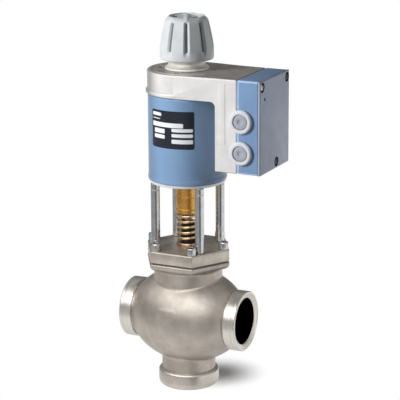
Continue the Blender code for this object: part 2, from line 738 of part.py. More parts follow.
def bonnet():
    cover = turned("bonnet", [
        (0, bonnet_top),
        (hex_radius, bonnet_top),
        (hex_radius, bonnet_bottom),
        (0, bonnet_bottom),
    ], 6)
    rounded(cover)
    boss_bottom = bonnet_bottom - BOSS_DEPTH
    spigot_radius = top_bore_radius - CLEARANCE
    spigot = turned("bonnet_spigot", [
        (0, bonnet_top - BONNET_THICKNESS / 2),
        (spigot_radius, bonnet_top - BONNET_THICKNESS / 2),
        (spigot_radius, bonnet_bottom - BONNET_SPIGOT),
        (BOSS_RADIUS, bonnet_bottom - BONNET_SPIGOT),
        (BOSS_RADIUS, boss_bottom),
        (0, boss_bottom),
    ], 24)
    join(cover, spigot)
    bore = PACKING_RADIUS + CLEARANCE
    cutters = [
        rod("packing_bore", bore, boss_bottom + LIP_HEIGHT, bonnet_top + OVERCUT, steps=16),
        rod("lip_bore", LIP_BORE, boss_bottom - OVERCUT, bonnet_top, steps=12),
    ]
    high = bonnet_top + OVERCUT
    for i in range(6):
        cutters.append(rod("screw_hole", SCREW_SHANK + CLEARANCE, bonnet_bottom - OVERCUT, high,
                           place=corner(i), steps=8))
    post_hole = bonnet_top - POST_SPIGOT - CLEARANCE
    for place in post_places():
        cutters.append(rod("post_hole", POST_SPIGOT_RADIUS + CLEARANCE, post_hole, high,
                           place=place, steps=8))
    dressed(cut(cover, *cutters), "cast_stainless")
    bush_bottom = boss_bottom + LIP_HEIGHT + CLEARANCE
    packing_bottom = bush_bottom + BUSH_HEIGHT + CLEARANCE
    gland_bottom = packing_bottom + PACKING_HEIGHT + CLEARANCE
    stem_bore = STEM_RADIUS + CLEARANCE
    bush_top = bush_bottom + BUSH_HEIGHT
    packing_top = packing_bottom + PACKING_HEIGHT
    dressed(tube("guide_bush", stem_bore, PACKING_RADIUS, bush_bottom, bush_top, 16), "brass")
    dressed(tube("stem_packing", stem_bore, PACKING_RADIUS, packing_bottom, packing_top, 16), "seal")
    gland = turned("gland_nut", [
        (GLAND_HEAD_RADIUS - SLEEVE_CHAMFER * 2, gland_top),
        (GLAND_HEAD_RADIUS, gland_top - SLEEVE_CHAMFER * 2),
        (GLAND_HEAD_RADIUS, bonnet_top + CLEARANCE),
        (PACKING_RADIUS, bonnet_top + CLEARANCE),
        (PACKING_RADIUS, gland_bottom),
        (stem_bore, gland_bottom),
        (stem_bore, gland_top),
    ], 20, ring=True)
    dressed(gland, "copper")
    guide_top = spring_foot + GUIDE_HEIGHT
    dressed(tube("spring_guide", stem_bore, GUIDE_RADIUS, spring_foot, guide_top, 16), "dark_plastic")
    gasket_bottom = body_height + CLEARANCE
    gasket = turned("bonnet_gasket", [
        (hex_radius - GASKET_INSET, gasket_bottom + GASKET_THICKNESS),
        (hex_radius - GASKET_INSET, gasket_bottom),
        (upper_neck_radius, gasket_bottom),
        (upper_neck_radius, gasket_bottom + GASKET_THICKNESS),
    ], 6, ring=True)
    holes = [
        rod("gasket_hole", SCREW_SHANK + CLEARANCE, gasket_bottom - OVERCUT, gasket_bottom + 2 * OVERCUT,
            place=corner(i), steps=8)
        for i in range(6)
    ]
    dressed(cut(gasket, *holes), "seal")


# A socket-head screw standing on height zero, with its shank below
def socket_screw(name, head, head_height, shank, reach, socket, socket_depth, steps, finish):
    outline = [
        (0, head_height - socket_depth),
        (socket, head_height - socket_depth),
        (socket, head_height),
        (head, head_height),
        (head, 0),
        (shank, 0),
        (shank, -reach),
        (0, -reach),
    ]
    return dressed(turned(name, outline, steps), finish)


def bonnet_screws():
    reach = BONNET_THICKNESS + GASKET_THICKNESS + 3 * CLEARANCE + SCREW_REACH - CLEARANCE
    first = socket_screw("bonnet_screw_1", SCREW_HEAD_RADIUS, SCREW_HEAD_HEIGHT, SCREW_SHANK, reach,
                         SCREW_SOCKET, SCREW_SOCKET_DEPTH, 12, "zinc_plating")
    height = bonnet_top + CLEARANCE
    first.location = (*corner(0), height)
    for i in range(1, 6):
        copy_of(first, f"bonnet_screw_{i + 1}", (*corner(i), height))


def post_places():
    return [(post_offset * sx, post_offset * sy) for sx, sy in ((1, -1), (1, 1), (-1, 1), (-1, -1))]


def posts():
    bottom = bonnet_top + CLEARANCE
    top = base_bottom - CLEARANCE
    outline = [
        (0, top + POST_TENON),
        (POST_SPIGOT_RADIUS, top + POST_TENON),
        (POST_SPIGOT_RADIUS, top),
        (POST_RADIUS, top),
        (POST_RADIUS, bottom),
        (POST_SPIGOT_RADIUS, bottom),
        (POST_SPIGOT_RADIUS, bottom - POST_SPIGOT),
        (0, bottom - POST_SPIGOT),
    ]
    places = post_places()
    first = dressed(turned("post_1", outline, 12), "zinc_plating")
    first.location = (*places[0], 0)
    for i in range(1, 4):
        copy_of(first, f"post_{i + 1}", (*places[i], 0))


def base_plate():
    inside = can_bore - CLEARANCE
    plate_ring = turned("base_plate", [
        (inside, base_top),
        (inside, base_bottom + BASE_RIM),
        (base_radius, base_bottom + BASE_RIM),
        (base_radius, base_bottom),
        (LIP_BORE, base_bottom),
        (LIP_BORE, base_top),
    ], 36, ring=True)
    holes = [
        rod("post_hole", POST_SPIGOT_RADIUS + CLEARANCE, base_bottom - OVERCUT, base_bottom + POST_TENON,
            place=place, steps=8)
        for place in post_places()
    ]
    dressed(cut(plate_ring, *holes), "zinc_plating")


def magnet_can():
    outline = [
        (CAN_RADIUS - CAN_EDGE, can_top),
        (CAN_RADIUS, can_top - CAN_EDGE),
        (CAN_RADIUS, can_bottom + CAN_EDGE),
        (CAN_RADIUS - CAN_EDGE, can_bottom),
        (can_bore, can_bottom),
        (can_bore, can_top - CAN_WALL),
        (CAN_TOP_BORE, can_top - CAN_WALL),
        (CAN_TOP_BORE, can_top),
    ]
    dressed(turned("magnet_can", outline, 44, ring=True), "blue_paint")


def magnet_inside():
    pole_top = pole_bottom + POLE_HEIGHT
    dressed(tube("pole_piece", LIP_BORE, ARMATURE_RADIUS, pole_bottom, pole_top, 16), "dark_steel")
    tube_top = flux_top + CAN_WALL
    dressed(tube("guide_tube", tube_bore, tube_radius, pole_bottom, tube_top, 20), "brass")
    top = flux_bottom - CLEARANCE
    flange = can_bore - HUB_CLEARANCE
    spool = bobbin_bore + BOBBIN_WALL
    bobbin = turned("coil_bobbin", [
        (flange, top),
        (flange, top - BOBBIN_FLANGE),
        (spool, top - BOBBIN_FLANGE),
        (spool, pole_bottom + BOBBIN_FLANGE),
        (flange, pole_bottom + BOBBIN_FLANGE),
        (flange, pole_bottom),
        (bobbin_bore, pole_bottom),
        (bobbin_bore, top),
    ], 20, ring=True)
    dressed(bobbin, "dark_plastic")
    coil_bottom = pole_bottom + BOBBIN_FLANGE + CLEARANCE
    coil_top = top - BOBBIN_FLANGE - CLEARANCE
    dressed(tube("coil_winding", spool + CLEARANCE, coil_radius, coil_bottom, coil_top, 20), "copper")
    dressed(tube("flux_plate", bobbin_bore, flange, flux_bottom, flux_top, 20), "dark_steel")


# Seen from above, the cover is a half round over the can, and its straight sides end at the leg
def cover_outline():
    half = HOUSING_HALF_WIDTH
    reach = math.hypot(leg_back, half)
    touch = math.degrees(math.atan2(half, leg_back) + math.acos(CAN_RADIUS / reach))
    arc_points = arc((0, 0), CAN_RADIUS, touch, 360 - touch, 23)
    return [(leg_back, -half), (leg_front, -half), (leg_front, half), (leg_back, half), *arc_points]


# Seen from the front, the cap and the leg make an angle with a rounded inner corner
def cover_side():
    far_left = -(CAN_RADIUS + OVERCUT)
    far_right = leg_front + OVERCUT
    high = cover_top + OVERCUT
    inner = arc((leg_back - LEG_CORNER, cap_bottom - LEG_CORNER), LEG_CORNER, 0, 90, 5)
    return [
        (far_left, high), (far_left, cap_bottom), *reversed(inner),
        (leg_back, housing_bottom), (far_right, housing_bottom), (far_right, high),
    ]


def metal_cover():
    cover = plate("metal_cover", cover_outline(), housing_bottom, cover_top, COVER_EDGE)
    depth = CAN_RADIUS + OVERCUT
    side = plate("cover_side", cover_side(), -depth, depth)
    side.data.transform(Matrix.Rotation(math.radians(90), 4, "X"))
    common(cover, side)
    lip_top = cap_bottom + CAP_LIP_HEIGHT
    lip = tube("cap_lip", can_bore, CAN_RADIUS + LIP_RISE, cap_bottom, lip_top, 44, LIP_RISE / 2)
    wide = 2 * CAN_RADIUS
    trim = block("lip_trim", (0, -wide, 0), (wide, wide, cover_top))
    join(cover, cut(lip, trim))
    inside = HOUSING_HALF_WIDTH - COVER_WALL
    leg_room = block("leg_room", (leg_back + COVER_WALL, -inside, housing_bottom + COVER_WALL),
                     (leg_front + OVERCUT, inside, cover_inside))
    passage = block("passage", (0, -inside + COVER_WALL, cap_bottom + COVER_WALL),
                    (leg_front - COVER_WALL, inside - COVER_WALL, cover_inside))
    cap_room = rod("cap_room", can_bore, cap_bottom - OVERCUT, cover_inside, steps=28)
    low = cover_inside - OVERCUT
    high = cover_top + OVERCUT
    neck_hole = rod("neck_hole", NECK_SPIGOT_RADIUS + CLEARANCE, low, high, steps=20)
    cutters = [leg_room, passage, cap_room, neck_hole, *entry_cutters()]
    pocket_floor = cover_top - COVER_POCKET_DEPTH
    for place in cover_screw_places():
        cutters.append(rod("screw_pocket", COVER_SCREW_HEAD + CLEARANCE, pocket_floor, high, place, 10))
        cutters.append(rod("screw_hole", COVER_SCREW_SHANK + CLEARANCE, low, cover_top, place, 8))
    dressed(cut(cover, *cutters), "cover_metal")


def cover_screw_places():
    angles = [math.radians(COVER_SCREW_TURN + 90 * i) for i in range(4)]
    return [(cover_screw_circle * math.cos(a), cover_screw_circle * math.sin(a)) for a in angles]


def cover_screws():
    height = cover_top - COVER_POCKET_DEPTH + CLEARANCE
    head_height = COVER_POCKET_DEPTH - CLEARANCE
    places = cover_screw_places()
    first = socket_screw("cover_screw_1", COVER_SCREW_HEAD, head_height, COVER_SCREW_SHANK,
                         COVER_SCREW_REACH, COVER_SCREW_SHANK, head_height / 2, 8, "dark_steel")
    first.location = (*places[0], height)
    for i in range(1, 4):
        copy_of(first, f"cover_screw_{i + 1}", (*places[i], height))


def entry_centres():
    upper = cover_top - ENTRY_UPPER_DROP
    return [(leg_front + ENTRY_OFFSET, upper), (leg_front + ENTRY_OFFSET, upper - ENTRY_SPACING)]


# The two threaded holes for cables run through the joint of leg and box
def entry_cutters():
    back = HOUSING_HALF_WIDTH - COVER_WALL - OVERCUT
    front = HOUSING_HALF_WIDTH + OVERCUT
    holes = []
    for x, z in entry_centres():
        hole = rod("entry_hole", ENTRY_THREAD + CLEARANCE, back, front, steps=20)
        holes.append(moved(towards_front(hole), x=x, z=z))
    return holes


def cable_entries():
    face = HOUSING_HALF_WIDTH + CLEARANCE
    front = face + ENTRY_RISE
    thread_end = HOUSING_HALF_WIDTH - COVER_WALL
    edge = ENTRY_RISE / 3
    ring = turned("entry_ring_1", [
        (ENTRY_RADIUS - edge, front),
        (ENTRY_RADIUS, front - edge),
        (ENTRY_RADIUS, face),
        (ENTRY_THREAD, face),
        (ENTRY_THREAD, thread_end),
        (ENTRY_BORE, thread_end),
        (ENTRY_BORE, front),
    ], 24, ring=True)
    dressed(towards_front(ring), "white_plastic")
    cap = turned("entry_plug_1", [
        (0, front - PLUG_CAP_RISE / 2),
        (ENTRY_BORE - PLUG_CAP_RISE, front - PLUG_CAP_RISE / 2),
        (ENTRY_BORE - CLEARANCE, front - PLUG_CAP_RISE),
        (ENTRY_BORE - CLEARANCE, thread_end),
        (0, thread_end),
    ], 20)
    dressed(towards_front(cap), "grey_plastic")
    places = entry_centres()
    ring.location = (places[0][0], 0, places[0][1])
    cap.location = ring.location
    copy_of(ring, "entry_ring_2", (places[1][0], 0, places[1][1]))
    copy_of(cap, "entry_plug_2", (places[1][0], 0, places[1][1]))


def lid_screw_places():
    side = HOUSING_HALF_WIDTH - LID_SCREW_INSET
    high = cover_top - LID_SCREW_DROP
    return [(-side, high), (side, high), (LID_SCREW_SIDE, housing_bottom + LID_SCREW_FOOT)]


def terminal_box():
    half = HOUSING_HALF_WIDTH
    box = block("terminal_box", (box_back, -half, housing_bottom),
                (box_front + BOX_EDGE, half, cover_top), BOX_EDGE)
    trim = block("box_trim", (box_front, -2 * half, 0), (2 * box_front, 2 * half, 2 * cover_top))
    room = block("box_room", (box_back + COVER_WALL, COVER_WALL - half, housing_bottom + COVER_WALL),
                 (2 * box_front, half - COVER_WALL, cover_inside))
    cut(box, trim, room)
    hole_start = box_front - LID_SCREW_REACH - CLEARANCE
    drilled = []
    bosses = []
    for y, z in lid_screw_places():
        boss = rod("screw_boss", BOX_BOSS, box_back + COVER_WALL / 2, box_front, steps=12)
        bosses.append(moved(along_x(boss), y=y, z=z))
        hole = rod("screw_hole", LID_SCREW_SHANK + CLEARANCE, hole_start, box_front + OVERCUT, steps=8)
        drilled.append(moved(along_x(hole), y=y, z=z))
    wire_hole = rod("wire_hole", WIRE_HOLE, box_back - OVERCUT, box_back + COVER_WALL + OVERCUT, steps=12)
    drilled.append(moved(along_x(wire_hole), z=cover_top - TERMINAL_DROP / 2))
    dressed(cut(join(box, *bosses), *drilled, *entry_cutters()), "blue_plastic")


def terminal_lid():
    half = HOUSING_HALF_WIDTH
    lid = block("terminal_lid", (lid_back, -half, housing_bottom),
                (lid_face, half, cover_top), LID_THICKNESS / 4)
    cutters = []
    for y, z in lid_screw_places():
        pocket = rod("screw_pocket", LID_POCKET, lid_face - LID_POCKET_DEPTH, lid_face + OVERCUT, steps=16)
        hole = rod("screw_hole", LID_SCREW_SHANK + CLEARANCE, lid_back - OVERCUT, lid_face, steps=8)
        cutters.append(moved(along_x(pocket), y=y, z=z))
        cutters.append(moved(along_x(hole), y=y, z=z))
    dressed(cut(lid, *cutters), "lid_plastic")
    reach = LID_THICKNESS - LID_POCKET_DEPTH + 2 * CLEARANCE + LID_SCREW_REACH - CLEARANCE
    places = lid_screw_places()
    seat = lid_face - LID_POCKET_DEPTH + CLEARANCE
    head_height = LID_POCKET_DEPTH - CLEARANCE
    first = socket_screw("lid_screw_1", LID_SCREW_HEAD, head_height, LID_SCREW_SHANK, reach,
                         LID_SCREW_SHANK, head_height / 2, 8, "zinc_plating")
    along_x(first)
    first.location = (seat, *places[0])
    for i in range(1, 3):
        copy_of(first, f"lid_screw_{i + 1}", (seat, *places[i]))


def electronics():
    side = HOUSING_HALF_WIDTH - COVER_WALL - CLEARANCE
    middle = (leg_back + COVER_WALL + leg_front) / 2
    foot = housing_bottom + BOARD_FOOT
    board = block("circuit_board", (middle, -side, foot),
                  (middle + BOARD_THICKNESS, side, foot + BOARD_HEIGHT))
    dressed(board, "board")
    back = box_back + COVER_WALL + CLEARANCE
    top = cover_top - TERMINAL_DROP
    half = TERMINAL_WIDTH / 2
    foot = top - TERMINAL_HEIGHT
    terminals = block("terminal_block", (back, -half, foot), (back + TERMINAL_DEPTH, half, top))
    pitch = TERMINAL_WIDTH / TERMINAL_WAYS
    notch = pitch / 3
    cutters = []
    for i in range(TERMINAL_WAYS):
        y = (i + 0.5) * pitch - half
        cutters.append(block("wire_notch", (back + TERMINAL_DEPTH / 2, y - notch, foot - OVERCUT),
                             (back + TERMINAL_DEPTH + OVERCUT, y + notch, foot + TERMINAL_HEIGHT / 2)))
    dressed(cut(terminals, *cutters), "grey_plastic")


def knob_neck():
    foot = NECK_BASE_HEIGHT
    flare = NECK_BASE_RADIUS - NECK_RADIUS - foot / 2
    outline = [
        (NECK_RADIUS - foot / 4, neck_top),
        (NECK_RADIUS, neck_top - foot / 4),
        *arc((NECK_RADIUS + flare, neck_base + foot + flare), flare, 180, 270, 4),
        (NECK_BASE_RADIUS, neck_base + foot * 0.6),
        (NECK_BASE_RADIUS, neck_base),
        (NECK_SPIGOT_RADIUS, neck_base),
        (NECK_SPIGOT_RADIUS, spigot_bottom),
        (SLIDE_RADIUS + CLEARANCE, spigot_bottom),
        (SLIDE_RADIUS + CLEARANCE, neck_floor),
        (NECK_POCKET, neck_floor),
        (NECK_POCKET, neck_top),
    ]
    dressed(turned("knob_neck", outline, 24, ring=True), "machined_steel")


def press_sleeve():
    bottom = spigot_bottom - CLEARANCE - RETAINER_HEIGHT - STEM_END
    outline = [
        (SLIDE_RADIUS, press_top),
        (SLIDE_RADIUS, press_flange + PRESS_FLANGE_HEIGHT),
        (PRESS_FLANGE_RADIUS, press_flange + PRESS_FLANGE_HEIGHT),
        (PRESS_FLANGE_RADIUS, press_flange),
        (SLIDE_RADIUS, press_flange),
        (SLIDE_RADIUS, bottom),
        (slide_bore, bottom),
        (slide_bore, press_top),
    ]
    dressed(turned("press_sleeve", outline, 16, ring=True), "brass")
    top = spigot_bottom - CLEARANCE
    foot = top - RETAINER_HEIGHT
    dressed(tube("retaining_ring", SLIDE_RADIUS + CLEARANCE, RETAINER_RADIUS, foot, top, 16), "dark_steel")
    rise = press_flange - neck_floor - 2 * CLEARANCE
    close = 2 * SPRING_END_TURNS * (KNOB_SPRING_WIRE + CLEARANCE / 2)
    pitch = (rise - KNOB_SPRING_WIRE - close) / KNOB_SPRING_TURNS
    coil_spring("knob_spring", KNOB_SPRING_RADIUS, KNOB_SPRING_WIRE, neck_floor + CLEARANCE,
                KNOB_SPRING_TURNS, pitch, SPRING_END_TURNS, 10, "machined_steel")


# The knob's outer radius: a tapered dome, with a groove at each flute that fades out towards the foot
def knob_radius(share, angle):
    taper = KNOB_BASE_RADIUS - KNOB_TOP_RADIUS
    plain = KNOB_BASE_RADIUS - taper * share ** KNOB_DOME_POWER
    turn = (angle - math.radians(KNOB_GROOVE_TURN)) * KNOB_GROOVES / (2 * math.pi)
    off = abs(turn - round(turn)) * 2
    notch = max(0.0, 1 - off / KNOB_GROOVE_SHARE)
    fade = min(1.0, max(0.0, (share - KNOB_GROOVE_FOOT) / KNOB_GROOVE_FADE))
    flat = KNOB_FLUTE_HOLLOW * math.cos(2 * math.pi * turn) * fade
    return plain - KNOB_GROOVE_DEPTH * notch * fade - flat


def knob():
    shares = [0.035, 0.12, 0.22, 0.34, 0.66, 0.965]
    near, edge = KNOB_GROOVE_SHARE / 4, KNOB_GROOVE_SHARE / 2
    offsets = (0.0, near, edge, 1 / 2, 1 - edge, 1 - near)
    first = math.radians(KNOB_GROOVE_TURN)
    step = 2 * math.pi / KNOB_GROOVES
    angles = [first + step * (i + part) for i in range(KNOB_GROOVES) for part in offsets]
    rings = [(knob_bottom, [KNOB_BASE_RADIUS - KNOB_RIM] * len(angles))]
    for share in shares:
        rings.append((knob_bottom + KNOB_HEIGHT * share, [knob_radius(share, a) for a in angles]))
    top = [knob_radius(1.0, a) - KNOB_RIM * 0.45 for a in angles]
    rings.append((knob_top, top))
    work = bmesh.new()
    loops = [
        [work.verts.new((r * math.cos(a), r * math.sin(a), height)) for r, a in zip(radii, angles)]
        for height, radii in rings
    ]
    count = len(angles)
    for lower, upper in zip(loops, loops[1:]):
        for i in range(count):
            j = (i + 1) % count
            work.faces.new((lower[i], lower[j], upper[j], upper[i]))
    work.faces.new(list(reversed(loops[0])))
    work.faces.new(loops[-1])
    mesh = bpy.data.meshes.new("knob")
    work.to_mesh(mesh)
    work.free()
    shade(mesh)
    body = linked("knob", mesh)
    recess = KNOB_TOP_RADIUS - KNOB_RIM
    cut(
        body,
        rod("skirt_room", KNOB_SKIRT_BORE, knob_bottom - OVERCUT, knob_ceiling, steps=27),
        rod("top_recess", recess, knob_floor, knob_top + OVERCUT, steps=27),
        rod("spindle_bore", slide_bore, knob_ceiling - OVERCUT, knob_floor + OVERCUT, steps=12),
    )
    dressed(body, "grey_plastic")
    bevel = KNOB_CAP_THICKNESS / 4
    cap_bottom_height = knob_floor + CLEARANCE
    cap_top = cap_bottom_height + KNOB_CAP_THICKNESS
    radius = recess - CLEARANCE
    cap = turned("knob_cap", [
        (0, cap_top),
        (radius - bevel, cap_top),
        (radius, cap_top - bevel),
        (radius, cap_bottom_height),
        (0, cap_bottom_height),
    ], 27)
    dressed(cap, "grey_plastic")


def spindle():
    outline = [
        (KNOB_SCREW_SHANK + CLEARANCE, spindle_top),
        (SPINDLE_RADIUS, spindle_top),
        (SPINDLE_RADIUS, spindle_foot + SPINDLE_FOOT_HEIGHT),
        (SPINDLE_FOOT_RADIUS, spindle_foot + SPINDLE_FOOT_HEIGHT),
        (SPINDLE_FOOT_RADIUS, spindle_foot),
        (0, spindle_foot),
    ]
    socket = spindle_top - KNOB_SCREW_REACH - CLEARANCE
    outline = [(0, socket), (KNOB_SCREW_SHANK + CLEARANCE, socket), *outline]
    dressed(turned("spindle", outline, 12), "machined_steel")
    screw = socket_screw("knob_screw", KNOB_SCREW_HEAD, KNOB_SCREW_HEAD_HEIGHT, KNOB_SCREW_SHANK,
                         KNOB_SCREW_REACH, KNOB_SCREW_SHANK, KNOB_SCREW_HEAD_HEIGHT / 2, 8, "zinc_plating")
    screw.location = (0, 0, spindle_top + CLEARANCE)


valve_body()
seat_ring("upper_seat_ring", web_height + WEB_THICKNESS + CLEARANCE + SEAT_FLANGE_THICKNESS,
          WEB_THICKNESS + CLEARANCE + SEAT_FLANGE_THICKNESS)
seat_ring("lower_seat_ring", lower_seat_face, FLOOR_THICKNESS + CLEARANCE + SEAT_FLANGE_THICKNESS)
stem_and_plug()
bonnet()
bonnet_screws()
coil_spring("return_spring", SPRING_RADIUS, SPRING_WIRE, spring_foot, SPRING_TURNS, SPRING_PITCH,
            SPRING_END_TURNS, 12, "brass")
posts()
base_plate()
magnet_can()
magnet_inside()
metal_cover()
cover_screws()
cable_entries()
terminal_box()
terminal_lid()
electronics()
knob_neck()
press_sleeve()
knob()
spindle()
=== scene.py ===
import math
import bmesh
import bpy
from mathutils import Matrix, Vector


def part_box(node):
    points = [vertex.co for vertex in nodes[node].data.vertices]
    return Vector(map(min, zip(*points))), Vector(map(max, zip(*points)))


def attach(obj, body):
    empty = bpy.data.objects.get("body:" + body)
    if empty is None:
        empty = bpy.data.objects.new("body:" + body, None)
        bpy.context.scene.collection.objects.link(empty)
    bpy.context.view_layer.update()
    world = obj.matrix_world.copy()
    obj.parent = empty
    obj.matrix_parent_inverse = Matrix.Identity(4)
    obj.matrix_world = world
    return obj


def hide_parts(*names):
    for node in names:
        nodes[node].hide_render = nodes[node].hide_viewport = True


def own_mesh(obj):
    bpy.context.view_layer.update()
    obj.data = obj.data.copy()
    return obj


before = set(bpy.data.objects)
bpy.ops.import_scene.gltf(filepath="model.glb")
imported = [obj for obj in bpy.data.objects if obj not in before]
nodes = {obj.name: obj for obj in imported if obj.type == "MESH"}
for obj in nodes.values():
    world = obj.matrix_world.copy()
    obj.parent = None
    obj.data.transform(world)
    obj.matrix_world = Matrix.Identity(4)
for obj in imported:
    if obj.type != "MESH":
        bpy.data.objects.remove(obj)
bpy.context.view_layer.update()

scene = bpy.context.scene
mm = 0.001


# Lengths are in millimetres from here on, and the makers of shapes turn them into metres
def low(node, axis="z"):
    return getattr(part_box(node)[0], axis) / mm


def high(node, axis="z"):
    return getattr(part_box(node)[1], axis) / mm


def span(node):
    return low(node), high(node), (high(node, "y") - low(node, "y")) / 2


axisX = (low("magnet_can", "x") + high("magnet_can", "x")) / 2   # the stem's axis stands here
bodyTop = high("valve_body")
portHeight = bodyTop - 64


# sRGB levels from 0 to 255, as a colour for a shader
def paint(red, green, blue):
    def linear(level):
        share = level / 255
        return share / 12.92 if share <= 0.04045 else ((share + 0.055) / 1.055) ** 2.4
    return (linear(red), linear(green), linear(blue), 1)


print("finishes")


def addNode(tree, kind, **values):
    node = tree.nodes.new("ShaderNode" + kind)
    for name, value in values.items():
        setattr(node, name, value)
    return node


def noiseNode(tree, vector, scale, detail=3.0, rough=0.55):
    node = addNode(tree, "TexNoise")
    node.inputs["Scale"].default_value = scale
    node.inputs["Detail"].default_value = detail
    node.inputs["Roughness"].default_value = rough
    tree.links.new(vector, node.inputs["Vector"])
    return node.outputs["Fac"]


def rangeNode(tree, value, fromLow, fromHigh, toLow=0.0, toHigh=1.0, kind="LINEAR"):
    node = addNode(tree, "MapRange", interpolation_type=kind)
    numbers = {"From Min": fromLow, "From Max": fromHigh, "To Min": toLow, "To Max": toHigh}
    for name, number in numbers.items():
        node.inputs[name].default_value = number
    tree.links.new(value, node.inputs["Value"])
    return node.outputs["Result"]


def mixColours(tree, factor, first, second, mode="MIX"):
    node = addNode(tree, "Mix", data_type="RGBA", blend_type=mode)
    tree.links.new(factor, node.inputs[0])
    for socket, colour in ((node.inputs[6], first), (node.inputs[7], second)):
        if isinstance(colour, tuple):
            socket.default_value = colour
        else:
            tree.links.new(colour, socket)
    return node.outputs[2]


def mathNode(tree, kind, first, second=0.0):
    node = addNode(tree, "Math", operation=kind)
    for socket, value in zip(node.inputs, (first, second)):
        if isinstance(value, (int, float)):
            socket.default_value = value
        else:
            tree.links.new(value, socket)
    return node.outputs[0]


def bumpNode(tree, height, depth, under=None):
    node = addNode(tree, "Bump")
    node.inputs["Strength"].default_value = 1.0
    node.inputs["Distance"].default_value = depth * mm
    tree.links.new(height, node.inputs["Height"])
    if under:
        tree.links.new(under, node.inputs["Normal"])
    return node.outputs["Normal"]


# Distance from a turning axis and place along it, so that lathe lines run round the piece
def turningPlace(tree, place, around):
    parts = addNode(tree, "SeparateXYZ")
    tree.links.new(place, parts.inputs[0])
    x, y, z = parts.outputs
    if around == "Z":
        first, second, along = mathNode(tree, "SUBTRACT", x, axisX * mm), y, z
    else:
        first, second, along = y, mathNode(tree, "SUBTRACT", z, portHeight * mm), x
    squares = [mathNode(tree, "MULTIPLY", part, part) for part in (first, second)]
    both = addNode(tree, "CombineXYZ")
    tree.links.new(mathNode(tree, "SQRT", mathNode(tree, "ADD", *squares)), both.inputs[0])
    tree.links.new(along, both.inputs[1])
    return both.outputs[0]


# What all finishes share: where noise turns into tone, the stain's tone and size, where a piece turns
# away far enough to get painted edge shade, how rough places mix two noises, and how close lathe lines are
look = {
    "noiseRange": (0.3, 0.7), "stainRange": (0.48, 0.75), "stainTone": (0.10, 0.09, 0.08, 1),
    "stainSize": 0.35, "edgeShadeRange": (0.30, 0.62), "wideSize": 2.3, "wideShare": 0.6, "fineShare": 0.4,
    "lineScale": 2600.0, "coatRoughness": 0.12,
}
finishes = {}


# One finish: two tones in patches, roughness that varies, fine grain and optional lathe lines, and
# optional painted edge shade that darkens the colour where the surface turns away from view
def makeFinish(name, tone, secondTone, roughness, metallic, patch, grain, grainDepth,
               lines=None, lineDepth=0.01, stain=0.0, coat=0.0, specular=0.5, paintedEdgeShade=1.0):
    finish = bpy.data.materials.new(name)
    finish.use_nodes = True
    tree = finish.node_tree
    shader = tree.nodes["Principled BSDF"]
    shader.inputs["Metallic"].default_value = metallic
    shader.inputs["Specular IOR Level"].default_value = specular
    shader.inputs["Coat Weight"].default_value = coat
    shader.inputs["Coat Roughness"].default_value = look["coatRoughness"]
    place = addNode(tree, "TexCoord").outputs["Object"]
    patches = rangeNode(tree, noiseNode(tree, place, patch, 4.0), *look["noiseRange"])
    colour = mixColours(tree, patches, paint(*tone), paint(*secondTone))
    fine = noiseNode(tree, place, grain, 2.0)
    if stain:
        smudge = noiseNode(tree, place, patch * look["stainSize"], 5.0, 0.65)
        smudge = rangeNode(tree, smudge, *look["stainRange"], 0.0, stain)
        colour = mixColours(tree, smudge, colour, look["stainTone"], "MULTIPLY")
    # Painted edge shade: the colour is multiplied darker where the surface turns away from view
    if paintedEdgeShade < 1:
        edgeShadeShare = rangeNode(tree, addNode(tree, "LayerWeight").outputs["Facing"], *look["edgeShadeRange"])
        colour = mixColours(tree, edgeShadeShare, colour, (paintedEdgeShade, paintedEdgeShade, paintedEdgeShade, 1), "MULTIPLY")
    tree.links.new(colour, shader.inputs["Base Color"])
    wide = mathNode(tree, "MULTIPLY", noiseNode(tree, place, patch * look["wideSize"]), look["wideShare"])
    rough = mathNode(tree, "ADD", wide, mathNode(tree, "MULTIPLY", fine, look["fineShare"]))
    tree.links.new(rangeNode(tree, rough, *look["noiseRange"], *roughness), shader.inputs["Roughness"])
    normal = bumpNode(tree, fine, grainDepth)
    if lines:
        ridges = noiseNode(tree, turningPlace(tree, place, lines), look["lineScale"], 1.0)
        normal = bumpNode(tree, ridges, lineDepth, normal)
    tree.links.new(normal, shader.inputs["Normal"])
    finishes[name] = finish


# Name, two tones, roughness, metal share, size of patches and of grain, depth of grain, extras
makeFinish("castSteel", (205, 196, 186), (180, 171, 161), (0.36, 0.50), 0.86, 55, 1300, 0.026, stain=0.34)
makeFinish("bonnetSteel", (212, 203, 192), (190, 181, 170), (0.30, 0.46), 0.86, 80, 1400, 0.020, stain=0.35)
makeFinish("turnedSideways", (226, 221, 213), (220, 214, 206), (0.26, 0.30), 0.9, 90, 1500, 0.0010, "X",
           0.0016)
makeFinish("turnedUpright", (218, 211, 202), (198, 190, 180), (0.24, 0.36), 0.88, 90, 1500, 0.0010, "Z",
           0.0016)
makeFinish("neckSteel", (240, 237, 231), (220, 216, 209), (0.28, 0.38), 0.35, 120, 1500, 0.0010, "Z", 0.0016,
           0.15)
# Near-black, matt and without specular: painted shade for the inside of the body and the port bores
makeFinish("boreShade", (9, 9, 8), (5, 5, 5), (0.8, 0.9), 0.0, 120, 900, 0.004, specular=0.0)
makeFinish("plainSteel", (128, 126, 124), (106, 104, 102), (0.35, 0.5), 1.0, 150, 1200, 0.006, "Z")
makeFinish("nickel", (206, 208, 208), (186, 189, 190), (0.08, 0.16), 1.0, 140, 1600, 0.001, "Z", 0.0015)
makeFinish("screwPlating", (214, 214, 210), (184, 186, 186), (0.16, 0.28), 1.0, 300, 1800, 0.003)
